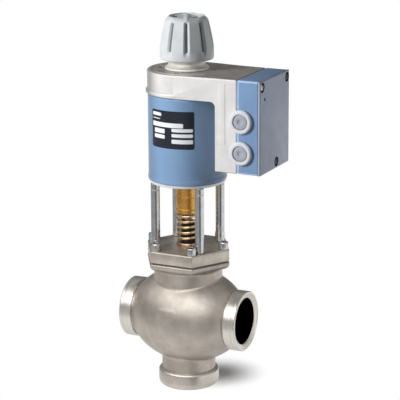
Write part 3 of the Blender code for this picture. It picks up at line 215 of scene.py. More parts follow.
# The screw plating darkened: painted shade for lid screws that sit deep in their pockets
makeFinish("shadedScrewPlating", (92, 94, 98), (70, 72, 76), (0.25, 0.40), 1.0, 300, 1800, 0.003)
makeFinish("brass", (230, 174, 90), (214, 156, 74), (0.24, 0.30), 0.9, 160, 1500, 0.001, "Z", 0.0015, 0.3)
makeFinish("springBrass", (236, 214, 172), (214, 184, 134), (0.14, 0.26), 1.0, 200, 1800, 0.003)
makeFinish("copper", (206, 172, 152), (176, 140, 118), (0.24, 0.38), 1.0, 220, 1600, 0.004, "Z")
# The can's blue paint and the cover metal carry painted edge shade towards their outlines
makeFinish("bluePaint", (124, 155, 190), (117, 147, 182), (0.30, 0.38), 0.0, 40, 1500, 0.002, coat=0.30,
           paintedEdgeShade=0.66)
makeFinish("bluePlastic", (120, 149, 185), (112, 142, 178), (0.40, 0.50), 0.0, 60, 2200, 0.006)
# Lighter blue: a painted highlight for the bevelled edges of the terminal box
makeFinish("blueEdgeHighlight", (172, 198, 232), (162, 188, 222), (0.30, 0.40), 0.0, 60, 2200, 0.004)
makeFinish("lidPlastic", (160, 172, 190), (150, 162, 181), (0.36, 0.48), 0.0, 60, 2200, 0.010)
makeFinish("coverMetal", (234, 232, 230), (224, 222, 220), (0.32, 0.42), 0.24, 60, 1700, 0.006, stain=0.08,
           paintedEdgeShade=0.42)
# Darker than coverMetal: painted shade for the cover's upward top faces
makeFinish("coverTopShadedMetal", (204, 199, 192), (178, 172, 165), (0.30, 0.44), 0.5, 90, 1500, 0.008, stain=0.35)
makeFinish("knobPlastic", (202, 206, 208), (193, 197, 200), (0.34, 0.42), 0.0, 90, 2000, 0.004)
# Paler than knobPlastic: painted light on the knob's upward-facing top disc
makeFinish("knobTopPaintedLight", (246, 248, 249), (234, 237, 239), (0.36, 0.46), 0.0, 90, 2000, 0.004)
# Dark grey: painted shade for the bottoms of the knob's grooves
makeFinish("knobGrooveShade", (112, 116, 119), (100, 104, 107), (0.45, 0.55), 0.0, 90, 2000, 0.004)
makeFinish("platePale", (226, 229, 232), (212, 216, 220), (0.30, 0.40), 0.35, 120, 1600, 0.002)
makeFinish("plateGround", (17, 22, 34), (22, 28, 42), (0.28, 0.36), 0.0, 90, 1800, 0.004, coat=0.3)
makeFinish("plateField", (233, 236, 240), (222, 226, 232), (0.32, 0.42), 0.0, 150, 1800, 0.004)
makeFinish("entryPlastic", (214, 215, 219), (205, 207, 213), (0.34, 0.44), 0.0, 120, 1800, 0.003)
makeFinish("plugPlastic", (166, 170, 179), (150, 155, 166), (0.38, 0.50), 0.0, 150, 1800, 0.008)
# Black: the colour of black plastic parts, and also painted shade in sockets, pockets, slots and round the
# spring
makeFinish("blackPlasticAndShade", (20, 20, 22), (13, 13, 15), (0.42, 0.55), 0.0, 200, 1800, 0.008)
makeFinish("sealGraphite", (38, 37, 36), (28, 27, 27), (0.6, 0.8), 0.0, 260, 1500, 0.03)
makeFinish("windingCopper", (188, 106, 62), (160, 84, 46), (0.28, 0.4), 1.0, 220, 900, 0.03, "Z", 0.05)
makeFinish("boardGreen", (24, 92, 52), (18, 78, 44), (0.35, 0.5), 0.0, 300, 1500, 0.01)

print("tools for shapes")


def smooth(mesh, angle=34):
    mesh.shade_smooth()
    mesh.set_sharp_from_angle(angle=math.radians(angle))


def asObject(name, work, angle=34):
    bmesh.ops.recalc_face_normals(work, faces=work.faces)
    mesh = bpy.data.meshes.new(name)
    work.to_mesh(mesh)
    work.free()
    smooth(mesh, angle)
    obj = bpy.data.objects.new(name, mesh)
    scene.collection.objects.link(obj)
    return obj


# Rows of (radius, height) or (radius, height, ease), counted from a radius and a height
def about(radius, height, *rows):
    return [(radius + row[0], height + row[1], *row[2:]) for row in rows]


# An ease rounds the corner at its row
def eased(points, closed):
    count = len(points)
    made = []
    for i, point in enumerate(points):
        here = Vector(point[:2])
        ease = point[2] if len(point) > 2 else 0
        atEnd = not closed and i in (0, count - 1)
        if not ease or atEnd:
            made.append(tuple(here))
            continue
        before = Vector(points[i - 1][:2])
        after = Vector(points[(i + 1) % count][:2])
        start = here + (before - here).normalized() * min(ease, (before - here).length * 0.49)
        end = here + (after - here).normalized() * min(ease, (after - here).length * 0.49)
        for step in range(5):
            share = step / 4
            made.append(tuple(start.lerp(here, share).lerp(here.lerp(end, share), share)))
    return made


# A band of faces between each ring of corners and the next
def bridge(work, rings):
    for lower, upper in zip(rings, rings[1:]):
        count = max(len(lower), len(upper))
        for i in range(count if len(lower) > 1 or len(upper) > 1 else 0):
            j = (i + 1) % count
            corners = [lower[i % len(lower)]]
            if len(lower) > 1:
                corners.append(lower[j])
            if len(upper) > 1:
                corners.append(upper[j])
            corners.append(upper[i % len(upper)])
            work.faces.new(corners)


def lathe(name, points, steps=96, closed=False, angle=34):
    work = bmesh.new()
    turns = [2 * math.pi * i / steps for i in range(steps)]
    rings = []
    for radius, height in eased(points, closed):
        reach, z = radius * mm, height * mm
        if radius < 0.01:
            rings.append([work.verts.new((0, 0, z))])
        else:
            ring = [work.verts.new((reach * math.cos(turn), reach * math.sin(turn), z)) for turn in turns]
            rings.append(ring)
    bridge(work, rings + rings[:1] if closed else rings)
    return asObject(name, work, angle)


def hollow(name, points, steps=96, angle=28):
    return lathe(name, points, steps, True, angle)


def rod(name, radius, start, end, steps=96):
    return lathe(name, [(0, start), (radius, start), (radius, end), (0, end)], steps)


def spin(obj, degrees, axis="Z"):
    obj.data.transform(Matrix.Rotation(math.radians(degrees), 4, axis))
    return obj


def moveMesh(obj, x=0.0, y=0.0, z=0.0):
    obj.data.transform(Matrix.Translation((x * mm, y * mm, z * mm)))
    return obj


def slab(name, start, end, edge=0.0, segments=3):
    work = bmesh.new()
    bmesh.ops.create_cube(work, size=1)
    size = [(b - a) * mm for a, b in zip(start, end)]
    middle = [(a + b) * mm / 2 for a, b in zip(start, end)]
    bmesh.ops.transform(work, matrix=Matrix.Translation(middle) @ Matrix.Diagonal((*size, 1)),
                        verts=work.verts)
    if edge:
        bmesh.ops.bevel(work, geom=work.edges[:], offset=edge * mm, segments=segments, profile=0.5,
                        affect="EDGES")
    return asObject(name, work)


# Stacked copies of outlines with the same number of points, closed below and above
def stack(name, layers, angle=34):
    work = bmesh.new()
    rings = []
    for height, outline in layers:
        rings.append([work.verts.new((x * mm, y * mm, height * mm)) for x, y in outline])
    bridge(work, rings)
    work.faces.new(list(reversed(rings[0])))
    work.faces.new(rings[-1])
    return asObject(name, work, angle)


def evaluated(obj):
    bpy.context.view_layer.update()
    return bpy.data.meshes.new_from_object(obj.evaluated_get(bpy.context.evaluated_depsgraph_get()))


def finished(obj):
    mesh = evaluated(obj)
    obj.modifiers.clear()
    obj.data = mesh


def combine(obj, others, operation="DIFFERENCE", angle=34):
    group = bpy.data.collections.new("helpers")
    scene.collection.children.link(group)
    for other in others:
        scene.collection.objects.unlink(other)
        group.objects.link(other)
    step = obj.modifiers.new("combine", "BOOLEAN")
    step.operation = operation
    step.solver = "EXACT"
    step.operand_type = "COLLECTION"
    step.collection = group
    finished(obj)
    smooth(obj.data, angle)
    for other in others:
        bpy.data.objects.remove(other)
    bpy.data.collections.remove(group)
    return obj


def merged(obj, others):
    bpy.ops.object.select_all(action="DESELECT")
    for other in (obj, *others):
        other.select_set(True)
    bpy.context.view_layer.objects.active = obj
    bpy.ops.object.join()
    return obj


# Two finishes on one piece: the second goes to the faces whose middle passes the test
def twoTone(obj, first, second, test):
    obj.data.materials.clear()
    obj.data.materials.append(finishes[first])
    obj.data.materials.append(finishes[second])
    for face in obj.data.polygons:
        if test(face, *(part / mm for part in face.center)):
            face.material_index = 1
    return obj


# Shapes are made round a stem at x = 0; this moves a piece to the real stem and ties it to its body
def fit(obj, body, finish, slot, *replaced):
    moveMesh(obj, x=axisX)
    if finish:
        obj.data.materials.clear()
        obj.data.materials.append(finishes[finish])
    if replaced:
        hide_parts(*replaced)
    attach(obj, body)
    return obj


def circlePoint(reach, degrees):
    return (reach * math.cos(math.radians(degrees)), reach * math.sin(math.radians(degrees)))


def easeShare(share):
    share = min(1.0, max(0.0, share))
    return share * share * (3 - 2 * share)


# A hexagon with rounded corners, one corner on +X
def hexagon(reach, inset=0.0, corner=2.2, steps=4):
    reach -= inset / math.cos(math.radians(30))
    points = []
    for i in range(6):
        middle = 60 * i
        centre = circlePoint(reach - corner / math.cos(math.radians(30)), middle)
        for step in range(steps + 1):
            x, y = circlePoint(corner, middle - 30 + 60 * step / steps)
            points.append((centre[0] + x, centre[1] + y))
    return points


print("cast body")

body = {
    "bulbRadius": 52.1, "bulbHalfLength": 66.3, "upperNeck": 37.0, "lowerNeck": 29.2, "upperRound": 10,
    "lowerRound": 5, "hexReach": 49.4, "flange": 7.8, "wall": 4.8, "bore": 25, "topBore": 31, "webRise": 15.5,
    "webThickness": 6, "floorDrop": 21.5, "floorThickness": 8, "leftWall": 30.5, "leftWallThickness": 5.5,
    "webEnd": 26.4, "seatHole": 22, "padWidth": 21, "padHeight": 31, "padLift": 0.35, "skinSlack": 3,
    "voxel": 1.0, "smoothing": 7,
}
portFace = high("valve_body", "x") - axisX
flangeBottom = bodyTop - body["flange"]
collar = {"radius": 32.8, "bore": body["bore"] - 0.02, "width": 15, "bottom": 18.3}


def ellipsoid(name, shrink=0.0, steps=128):
    work = bmesh.new()
    bmesh.ops.create_uvsphere(work, u_segments=steps, v_segments=steps // 2, radius=1)
    across = (body["bulbRadius"] - shrink) * mm
    stretch = Matrix.Diagonal(((body["bulbHalfLength"] - shrink) * mm, across, across, 1))
    bmesh.ops.transform(work, matrix=stretch @ Matrix.Rotation(math.radians(90), 4, "Y"), verts=work.verts)
    return moveMesh(asObject(name, work), z=portHeight)


# The hollow round where a neck meets the bulb, from the neck outwards
def neckRound(neck, ease, upward):
    reach = neck + ease
    rise = math.sqrt((body["bulbRadius"] + ease) ** 2 - reach ** 2)
    tilt = math.degrees(math.atan2(rise, reach))
    points = []
    for step in range(9):
        x, z = circlePoint(ease, 180 + tilt * upward * step / 8)
        points.append((reach + x, portHeight + rise * upward + z))
    return points


# The rooms inside: one over the web, one that leads down to it from the left port, one under the web
def castRooms():
    far, wide = portFace + 5, body["bulbRadius"]
    web = portHeight + body["webRise"]
    webTop = web + body["webThickness"]
    floor = portHeight - body["floorDrop"]
    floorBottom = floor - body["floorThickness"]
    leftEnd = -(body["leftWall"] + body["leftWallThickness"])
    over = slab("roomOver", (-far, -wide, webTop), (body["webEnd"], wide, flangeBottom))
    left = slab("roomLeft", (-far, -wide, 0), (leftEnd, wide, flangeBottom - body["wall"]))
    under = slab("roomUnder", (-body["leftWall"], -wide, floor), (far, wide, web))
    combine(over, [left, under], "UNION")
    room = combine(ellipsoid("rooms", body["wall"], 64), [over], "INTERSECT")
    return [
        room,
        moveMesh(spin(rod("leftBore", body["bore"], body["leftWall"] + 10.3, far), -90, "Y"), z=portHeight),
        moveMesh(spin(rod("rightBore", body["bore"], 36, far), 90, "Y"), z=portHeight),
        rod("topBore", body["topBore"], webTop + 4.8, bodyTop + 2),
        rod("bottomBore", body["bore"], -2, floorBottom),
        rod("upperSeatHole", body["seatHole"], web - 1, webTop + 1),
        rod("lowerSeatHole", body["seatHole"], floorBottom - 1, floor + 1),
    ]


# Faces inside the rooms and bores of the body, which get the painted shade
def inRoom(face, x, y, z):
    across, upright = math.hypot(y, z - portHeight), math.hypot(x, y)
    halfLength, radius = body["bulbHalfLength"] - body["skinSlack"], body["bulbRadius"] - body["skinSlack"]
    inPort = across < body["bore"] + 0.4 and abs(x) > 20
    inBottom = upright < body["bore"] + 0.4 and z < portHeight
    inTop = upright < body["topBore"] + 0.4 and z > portHeight
    return inPort or inBottom or inTop or (x / halfLength) ** 2 + (across / radius) ** 2 < 1


def castBody():
    neck, lower, reach = body["upperNeck"], body["lowerNeck"], body["hexReach"]
    shell = ellipsoid("castBody")
    upperNeck = lathe("upperNeck", [
        (0, bodyTop - 1), (neck + 3, bodyTop - 1), *about(neck, flangeBottom, (3, 0), (0.8, -1.2), (0, -3)),
        *neckRound(neck, body["upperRound"], 1), (0, portHeight),
    ])
    lowerNeck = lathe("lowerNeck", [
        (0, portHeight), *reversed(neckRound(lower, body["lowerRound"], -1)),
        (lower, collar["bottom"] - 2), (0, collar["bottom"] - 2),
    ])
    sides = []
    for side in (-1, 1):
        sides.append(moveMesh(spin(rod("sideNeck", lower, 20, portFace - 7), 90 * side, "Y"), z=portHeight))
    flange = stack("bodyFlange", [
        (flangeBottom, hexagon(reach, 4.0)), (flangeBottom + 0.9, hexagon(reach, 2.2)),
        (flangeBottom + 2.6, hexagon(reach, 0.8)), (flangeBottom + 4.2, hexagon(reach)),
        (bodyTop - 0.8, hexagon(reach)), (bodyTop, hexagon(reach, 0.7)),
    ])
    side, tall = body["padWidth"] / 2, body["padHeight"] / 2
    pad = spin(slab("castPad", (-side, -56, -tall), (side, -44, tall), 2.5), -2)
    combine(moveMesh(pad, x=-1.5, z=portHeight + 2), [ellipsoid("padSkin", -body["padLift"])], "INTERSECT")
    merged(shell, [upperNeck, lowerNeck, *sides, flange, pad])
    remesh = shell.modifiers.new("skin", "REMESH")
    remesh.mode = "VOXEL"
    remesh.voxel_size = body["voxel"] * mm
    remesh.use_smooth_shade = True
    soften = shell.modifiers.new("soften", "SMOOTH")
    soften.factor = 0.5
    soften.iterations = body["smoothing"]
    finished(shell)
    combine(shell, castRooms(), angle=50)
    # The inside of the body gets painted shade
    twoTone(shell, "castSteel", "boreShade", inRoom)
    fit(shell, "housing", None, "cast_stainless", "valve_body")


castBody()

print("collars")


# Machined ends of the ports: a turned band, a step by the face, a flat seal face and a chamfered bore
def collarRing(name, side):
    face, back = portFace, portFace - collar["width"]
    radius, bore = collar["radius"], collar["bore"]
    ring = hollow(name, [
        *about(body["lowerNeck"], back, (-1.5, -0.6, 0.2), (0.9, -0.6, 0.3), (1.1, 0.6, 0.3)),
        *about(radius, back, (-1.0, 0.6, 0.3), (0, 1.6, 0.5)),
        *about(radius, face, (0, -5.0, 0.1), (-0.4, -4.8, 0.1), (-0.4, -4.4, 0.1), (-0.1, -4.2, 0.1),
               (-0.1, -0.9, 0.3), (-0.9, 0, 0.2), (-2.6, 0, 0.1), (-2.8, -0.45, 0.1), (-3.2, -0.30, 0.1)),
        *about(bore, face, (0.7, -1.7, 0.3), (0, -2.6, 0.2)), (bore, back - 0.6, 0.2),
    ], 128)
    moveMesh(spin(ring, 90 * side, "Y"), z=portHeight)
    # The collar's bore faces get painted shade
    twoTone(ring, "turnedSideways", "boreShade",
            lambda face, x, y, z: math.hypot(y, z - portHeight) < bore + 0.2)
    fit(ring, "housing", None, "machined_steel")


collarRing("rightCollar", 1)
collarRing("leftCollar", -1)
bottomRing = hollow("bottomCollar", [
    *about(body["lowerNeck"], collar["bottom"], (-1.5, 0.4, 0.2), (0.5, 0.4, 0.6)),
    *about(collar["radius"], collar["bottom"], (-1.3, -0.4, 0.5), (0, -1.9, 0.5)),
    *about(collar["radius"], 0, (0, 5.6, 1.4), (-0.9, 2.2, 0.6), (-2.9, 0.5, 0.5), (-4.0, 0, 0.3)),
    *about(collar["bore"], 0, (1.0, 0, 0.3), (0, 1.2, 0.3), (0, collar["bottom"] + 0.4, 0.2)),
], 128)
fit(bottomRing, "housing", "turnedUpright", "machined_steel")

print("bonnet and its screws")

bonnet = {"edge": 1.5, "bossRadius": 14, "spigot": 30.7, "bore": 10.0, "stemBore": 5.5, "screwCircle": 41.9}
bonnetLow, bonnetHigh = low("bonnet"), high("bonnet")
bonnetFoot = bonnetHigh - 12.8


def bonnetPlate():
    reach, edge = high("bonnet", "x") - axisX, bonnet["edge"]
    shell = stack("bonnetPlate", [
        (bonnetFoot, hexagon(reach, 0.9)), (bonnetFoot + 0.3, hexagon(reach, 0.35)),
        (bonnetFoot + 1.0, hexagon(reach, 0.05)), (bonnetHigh - edge, hexagon(reach)),
        (bonnetHigh - edge * 0.6, hexagon(reach, edge * 0.12)),
        (bonnetHigh - edge * 0.25, hexagon(reach, edge * 0.42)),
        (bonnetHigh - edge * 0.04, hexagon(reach, edge * 0.85)), (bonnetHigh, hexagon(reach, edge * 1.25)),
    ])
    boss = lathe("boss", [
        (0, bonnetHigh - 5), (bonnet["spigot"], bonnetHigh - 5), (bonnet["spigot"], bonnetFoot - 9, 1),
        (bonnet["bossRadius"], bonnetFoot - 9), (bonnet["bossRadius"], bonnetLow, 1), (0, bonnetLow),
    ], 64)
    combine(shell, [boss], "UNION")
    cutters = [lathe("boreUp", [
        (0, bonnetLow - 1), (bonnet["stemBore"], bonnetLow - 1), (bonnet["stemBore"], bonnetLow + 3),
        (bonnet["bore"], bonnetLow + 3), (bonnet["bore"], bonnetHigh + 1), (0, bonnetHigh + 1),
    ], 64)]
    for i in range(6):
        seat = lathe("screwSeat", about(0, bonnetHigh, (0, -0.35), (6.3, -0.35), (6.6, 1), (0, 1)), 40)
        cutters.append(moveMesh(seat, *circlePoint(bonnet["screwCircle"], 60 * i)))
    fit(combine(shell, cutters), "housing", "bonnetSteel", "cast_stainless", "bonnet")


bonnetPlate()

bonnetScrew = {"head": 5.4, "height": 8.2, "socket": 2.9, "depth": 4.4, "knurls": 30, "knurlDepth": 0.12}


def capScrew(name):
    head, height, socket, depth = (bonnetScrew[key] for key in ("head", "height", "socket", "depth"))
    count = bonnetScrew["knurls"] * 4
    layers = []
    for inset, z, ridge in ((0.5, 0.0, 0), (0.1, 0.4, 1), (0.0, 1.2, 1), (0.0, height - 1.5, 1),
                            (0.12, height - 0.9, 0), (0.5, height - 0.25, 0), (1.1, height, 0)):
        outline = []
        for i in range(count):
            bite = bonnetScrew["knurlDepth"] * ridge * (i % 4 in (0, 1))
            outline.append(circlePoint(head - inset - bite, 360 * i / count))
        layers.append((z, outline))
    key = stack("key", [
        (height - depth, hexagon(socket, 0, 0.05, 1)), (height - 0.4, hexagon(socket, 0, 0.05, 1)),
        (height + 1, hexagon(socket + 1.2, 0, 0.05, 1)),
    ])
    # The inside of the hex socket is painted black as shade
    return twoTone(combine(stack(name, layers), [key]), "screwPlating", "blackPlasticAndShade", lambda face, x, y, z:
                   math.hypot(x, y) < socket and height - depth - 1 < z < height - 0.6)


screws = [capScrew("bonnetScrew1")]
for i in range(1, 6):
    screws.append(bpy.data.objects.new(f"bonnetScrew{i + 1}", screws[0].data.copy()))
    scene.collection.objects.link(screws[i])
for i, screw in enumerate(screws):
    moveMesh(spin(screw, 17 * i), *circlePoint(bonnet["screwCircle"], 60 * i), bonnetHigh - 0.3)
    fit(screw, "housing", None, "zinc_plating", f"bonnet_screw_{i + 1}")

print("stem, gland and return spring")


# A round wire wound from foot to head, with closed and flattened end turns
def woundWire(name, radius, wire, foot, head, turns, endTurns, perTurn=40, around=12):
    close = wire * 1.06
    total = turns + 2 * endTurns
    rise = head - foot - wire - 2 * endTurns * close
    count = int(total * perTurn)
    work = bmesh.new()
    rings = []
    for i in range(count + 1):
        turn = total * i / count
        closeTurns = min(turn, endTurns) + max(turn - endTurns - turns, 0)
        openTurns = min(max(turn - endTurns, 0), turns)
        z = foot + wire / 2 + closeTurns * close + rise * openTurns / turns
        angle = 2 * math.pi * turn
        ring = []
        for k in range(around):
            spinAngle = 2 * math.pi * k / around
            reach = radius + math.cos(spinAngle) * wire / 2
            height = min(max(z + math.sin(spinAngle) * wire / 2, foot + 0.05 * wire), head - 0.05 * wire)
            ring.append(work.verts.new((reach * math.cos(angle) * mm, reach * math.sin(angle) * mm,
                                        height * mm)))
        rings.append(ring)
    bridge(work, rings)
    work.faces.new(list(reversed(rings[0])))
    work.faces.new(rings[-1])
    return asObject(name, work)


returnSpring = {"radius": 10, "wire": 3.4, "turns": 4.2, "endTurns": 0.5, "way": 6}
springFoot, springHead = low("return_spring"), high("return_spring")
spring = woundWire("returnSpringWire", returnSpring["radius"], returnSpring["wire"], springFoot, springHead,
                   returnSpring["turns"], returnSpring["endTurns"])
fit(spring, "housing", "springBrass", "brass", "return_spring")
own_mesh(spring)

stem = {"radius": 4, "tip": 3.4, "hole": 4.3, "collar": 6.5, "glandFoot": 9.7}
capLow, capHigh, capRadius = span("spring_cap")
fit(hollow("springCap", [
    (stem["hole"], capLow, 0.2),
    *about(capRadius, capLow, (-0.7, 0, 0.3), (0, 0.7, 0.2), (0, 4.2, 0.3), (-0.6, 4.9, 0.2),
           (-0.6, 17.4, 0.2), (-0.9, 17.7, 0.2), (-0.9, 18.5, 0.2), (-0.6, 18.8, 0.2)),
    *about(capRadius, capHigh, (-0.6, -1, 0.4), (-1.6, 0, 0.3)), (stem["hole"], capHigh, 0.2),
]), "stem", "brass", "brass", "spring_cap")

glandLow, glandHigh, glandRadius = span("gland_nut")
fit(hollow("glandNut", [
    (stem["hole"], glandLow, 0.2), (stem["glandFoot"], glandLow, 0.2), (stem["glandFoot"], bonnetHigh + 0.3),
    (glandRadius, bonnetHigh + 0.3, 0.3), *about(glandRadius, glandHigh, (0, -1.5, 0.4), (-0.6, 0, 0.4)),
    (stem["hole"], glandHigh, 0.2),
]), "housing", "copper", "copper", "gland_nut")
# A black guide tube inside the spring: a dark piece as painted shade between the coils
guideLow, guideHigh, guideRadius = span("spring_guide")
fit(hollow("springGuide", [
    (stem["hole"], guideLow, 0.2), (guideRadius, guideLow, 0.2),
    *about(guideRadius, guideHigh, (0, -1.5, 0.5), (-1.5, 0, 0.5)), (stem["hole"], guideHigh, 0.2),
], 64), "housing", "blackPlasticAndShade", "dark_plastic", "spring_guide")

stemLow, stemHigh = low("stem"), high("stem")
plugLow, plugHigh, plugRadius = span("plug")
fit(lathe("stemRod", [
    (0, stemLow), (stem["tip"], stemLow, 0.2), (stem["radius"], stemLow + 0.6, 0.2),
    (stem["radius"], plugHigh + 0.3), (stem["collar"], plugHigh + 0.3, 0.3),
    (stem["collar"], plugHigh + 3, 0.4), (stem["radius"], plugHigh + 3, 0.3),
    (stem["radius"], stemHigh - 0.6, 0.2), (stem["tip"], stemHigh, 0.2), (0, stemHigh),
], 48), "stem", "turnedUpright", "machined_steel", "stem")
plug = {"nose": 17.5, "rise": 4.2, "waist": 12.5}
nose, rise, waist = plug["nose"], plug["rise"], plug["waist"]
fit(hollow("plugBody", [
    (nose - rise / 2, plugHigh, 0.3), (nose, plugHigh - rise, 0.2), (plugRadius, plugHigh - rise, 0.3),
    (plugRadius, plugHigh - 2 * rise, 0.8), (waist, plugHigh - 3 * rise, 2), (waist, plugLow + 3 * rise, 2),
    (plugRadius, plugLow + 2 * rise, 0.8), (plugRadius, plugLow + rise, 0.3), (nose, plugLow + rise, 0.2),
    (nose - rise / 2, plugLow, 0.3), (stem["hole"], plugLow, 0.2), (stem["hole"], plugHigh, 0.2),
]), "stem", "turnedUpright", "machined_steel", "plug")
seat = {"hole": 18.5, "foot": 21.7, "flange": 25, "flangeHeight": 2}
for name, node in (("upperSeat", "upper_seat_ring"), ("lowerSeat", "lower_seat_ring")):
    seatLow, seatHigh = low(node), high(node)
    flangeLow = seatHigh - seat["flangeHeight"]
    fit(hollow(name, [
        (seat["hole"], seatLow, 0.5), (seat["foot"], seatLow, 0.3), (seat["foot"], flangeLow),
        (seat["flange"], flangeLow, 0.2), (seat["flange"], seatHigh, 0.3), (seat["hole"], seatHigh, 0.5),
    ]), "housing", "turnedUpright", "machined_steel", node)

print("posts, base plate and can")

post = {"radius": 4.9, "shank": 3.4, "place": 26, "screwedIn": 5.2, "upperShank": 1.9}
postFoot, postHead = bonnetHigh + 0.3, low("base_plate") - 0.3
for i, (sideX, sideY) in enumerate(((1, -1), (1, 1), (-1, 1), (-1, -1))):
    radius, shank = post["radius"], post["shank"]
    shape = lathe(f"post{i + 1}", [
        (0, postFoot - post["screwedIn"]), (shank, postFoot - post["screwedIn"], 0.2), (shank, postFoot),
        *about(radius, postFoot, (-0.5, 0, 0.2), (0, 0.5, 0.2)),
        *about(radius, postHead, (0, -7.4, 0.1), (-0.3, -7.1, 0.1), (-0.3, -6.4, 0.1), (0, -6.1, 0.1),
               (0, -0.5, 0.2), (-0.5, 0, 0.2)),
        *about(shank, postHead, (0, 0), (0, post["upperShank"], 0.2)), (0, postHead + post["upperShank"]),
    ], 64, angle=28)
    moveMesh(shape, x=sideX * post["place"], y=sideY * post["place"])
    fit(shape, "housing", "nickel", "zinc_plating", f"post_{i + 1}")

basePlate = {"hole": 5.5, "step": 3, "upper": 39}
plateLow, plateHigh, plateRadius = span("base_plate")
stepHeight = plateLow + basePlate["step"]
fit(hollow("basePlate", [
    (basePlate["hole"], plateLow, 0.2), *about(plateRadius, plateLow, (-0.6, 0, 0.3), (0, 0.6, 0.2)),
    (plateRadius, stepHeight, 0.2), (basePlate["upper"], stepHeight), (basePlate["upper"], plateHigh),
    (basePlate["hole"], plateHigh, 0.2),
], 128), "housing", "platePale", "zinc_plating", "base_plate")

can = {"wall": 3, "topBore": 20, "flare": 0.5, "flareHeight": 5.5}
canLow, canHigh, canRadius = span("magnet_can")
canSide = canRadius - can["flare"]
canInner, canRoof = canRadius - can["wall"], canHigh - can["wall"]
fit(hollow("magnetCan", [
    (canInner, canLow, 0.3), *about(canRadius, canLow, (-0.7, 0, 0.4), (0, 0.9, 0.6)),
    (canRadius, canLow + can["flareHeight"] - 2, 1.2), (canSide, canLow + can["flareHeight"], 1.2),
    *about(canSide, canHigh, (0, -1.6, 1), (-1.6, 0, 1)), (can["topBore"], canHigh, 0.3),
    (can["topBore"], canRoof, 0.3), (canInner, canRoof, 0.5),
], 192, 30), "housing", "bluePaint", "blue_paint", "magnet_can")

# A bare rating plate, bent round the can: a dark field with empty pale boxes, each given by the shares
# of the plate's width and height where it starts and ends (left, bottom, right, top)
plate = {
    "turn": (-34.6, 35.4), "heights": (canHigh - 53.4, canHigh - 13.2), "lift": 0.25, "corner": 1.2,
    "boxLift": 0.07, "boxCorner": 0.3,
    "boxes": [
        (0.035, 0.85, 0.285, 0.935), (0.035, 0.565, 0.775, 0.685), (0.09, 0.395, 0.37, 0.515),
        (0.09, 0.255, 0.37, 0.355), (0.53, 0.455, 0.975, 0.545), (0.53, 0.315, 0.975, 0.405),
        (0.53, 0.145, 0.975, 0.255), (0.035, 0.765, 0.26, 0.785),
    ],
}


# A patch of the can's surface between two angles and two heights, with a little thickness
def bentPatch(name, turns, heights, radius, thickness, corner):
    width = turns[1] - turns[0]
    columns = max(4, int(abs(width) / 1.5))
    work = bmesh.new()
    grids = []
    for reach in (radius, radius + thickness):
        grid = []
        for i in range(columns + 1):
            angle = math.radians(turns[0] + width * i / columns)
            fromSide = min(i, columns - i) / columns * math.radians(abs(width)) * radius
            cut = corner - math.sqrt(corner ** 2 - (corner - fromSide) ** 2) if fromSide < corner else 0.0
            x, y = reach * math.sin(angle) * mm, -reach * math.cos(angle) * mm
            grid.append([work.verts.new((x, y, z * mm)) for z in (heights[0] + cut, heights[1] - cut)])
        grids.append(grid)
    inner, outer = grids
    for i in range(columns):
        for grid, order in ((outer, 1), (inner, -1)):
            corners = [grid[i][0], grid[i + 1][0], grid[i + 1][1], grid[i][1]]
            work.faces.new(corners[::order])
        for k in (0, 1):
            corners = [inner[i][k], inner[i + 1][k], outer[i + 1][k], outer[i][k]]
            work.faces.new(corners[::-1 if k else 1])
    for i in (0, columns):
        work.faces.new((inner[i][0], outer[i][0], outer[i][1], inner[i][1])[::1 if i else -1])
    return asObject(name, work)


def ratingPlate():
    ground = bentPatch("ratingPlate", plate["turn"], plate["heights"], canSide - 0.05, plate["lift"] + 0.05,
                       plate["corner"])
    fit(ground, "housing", "plateGround", "blue_paint")
    start, bottom = plate["turn"][0], plate["heights"][0]
    width, tall = plate["turn"][1] - start, plate["heights"][1] - bottom
    fields = []
    for left, foot, right, top in plate["boxes"]:
        turns = (start + width * left, start + width * right)
        heights = (bottom + tall * foot, bottom + tall * top)
        fields.append(bentPatch("plateFields", turns, heights, canSide + plate["lift"] - 0.02,
                                plate["boxLift"], plate["boxCorner"]))
    fit(merged(fields[0], fields[1:]), "housing", "plateField", "blue_paint")


ratingPlate()

print("cover")

cover = {
    "wall": 2.8, "edge": 1.7, "lip": 1.7, "lipHeight": 4.8, "corner": 6, "frontCorner": 1.6, "legDepth": 24.5,
    "room": 39.3, "neckHole": 13, "screwCircle": 29.5, "firstScrew": 8, "entryHole": 10.8,
}
coverTop, coverLow = high("metal_cover"), low("metal_cover")
halfWidth = 38
legFront = high("metal_cover", "x") - axisX
legBack = legFront - cover["legDepth"]
capBottom = canHigh + 0.3
screwPlaces = [circlePoint(cover["screwCircle"], cover["firstScrew"] + 90 * i) for i in range(4)]
entryPlaces = []
for node in ("entry_ring_1", "entry_ring_2"):
    entryPlaces.append(((low(node, "x") + high(node, "x")) / 2 - axisX, (low(node) + high(node)) / 2))


def arcPoints(centre, radius, start, end, count):
    points = []
    for i in range(count):
        x, y = circlePoint(radius, start + (end - start) * i / (count - 1))
        points.append((centre[0] + x, centre[1] + y))
    return points


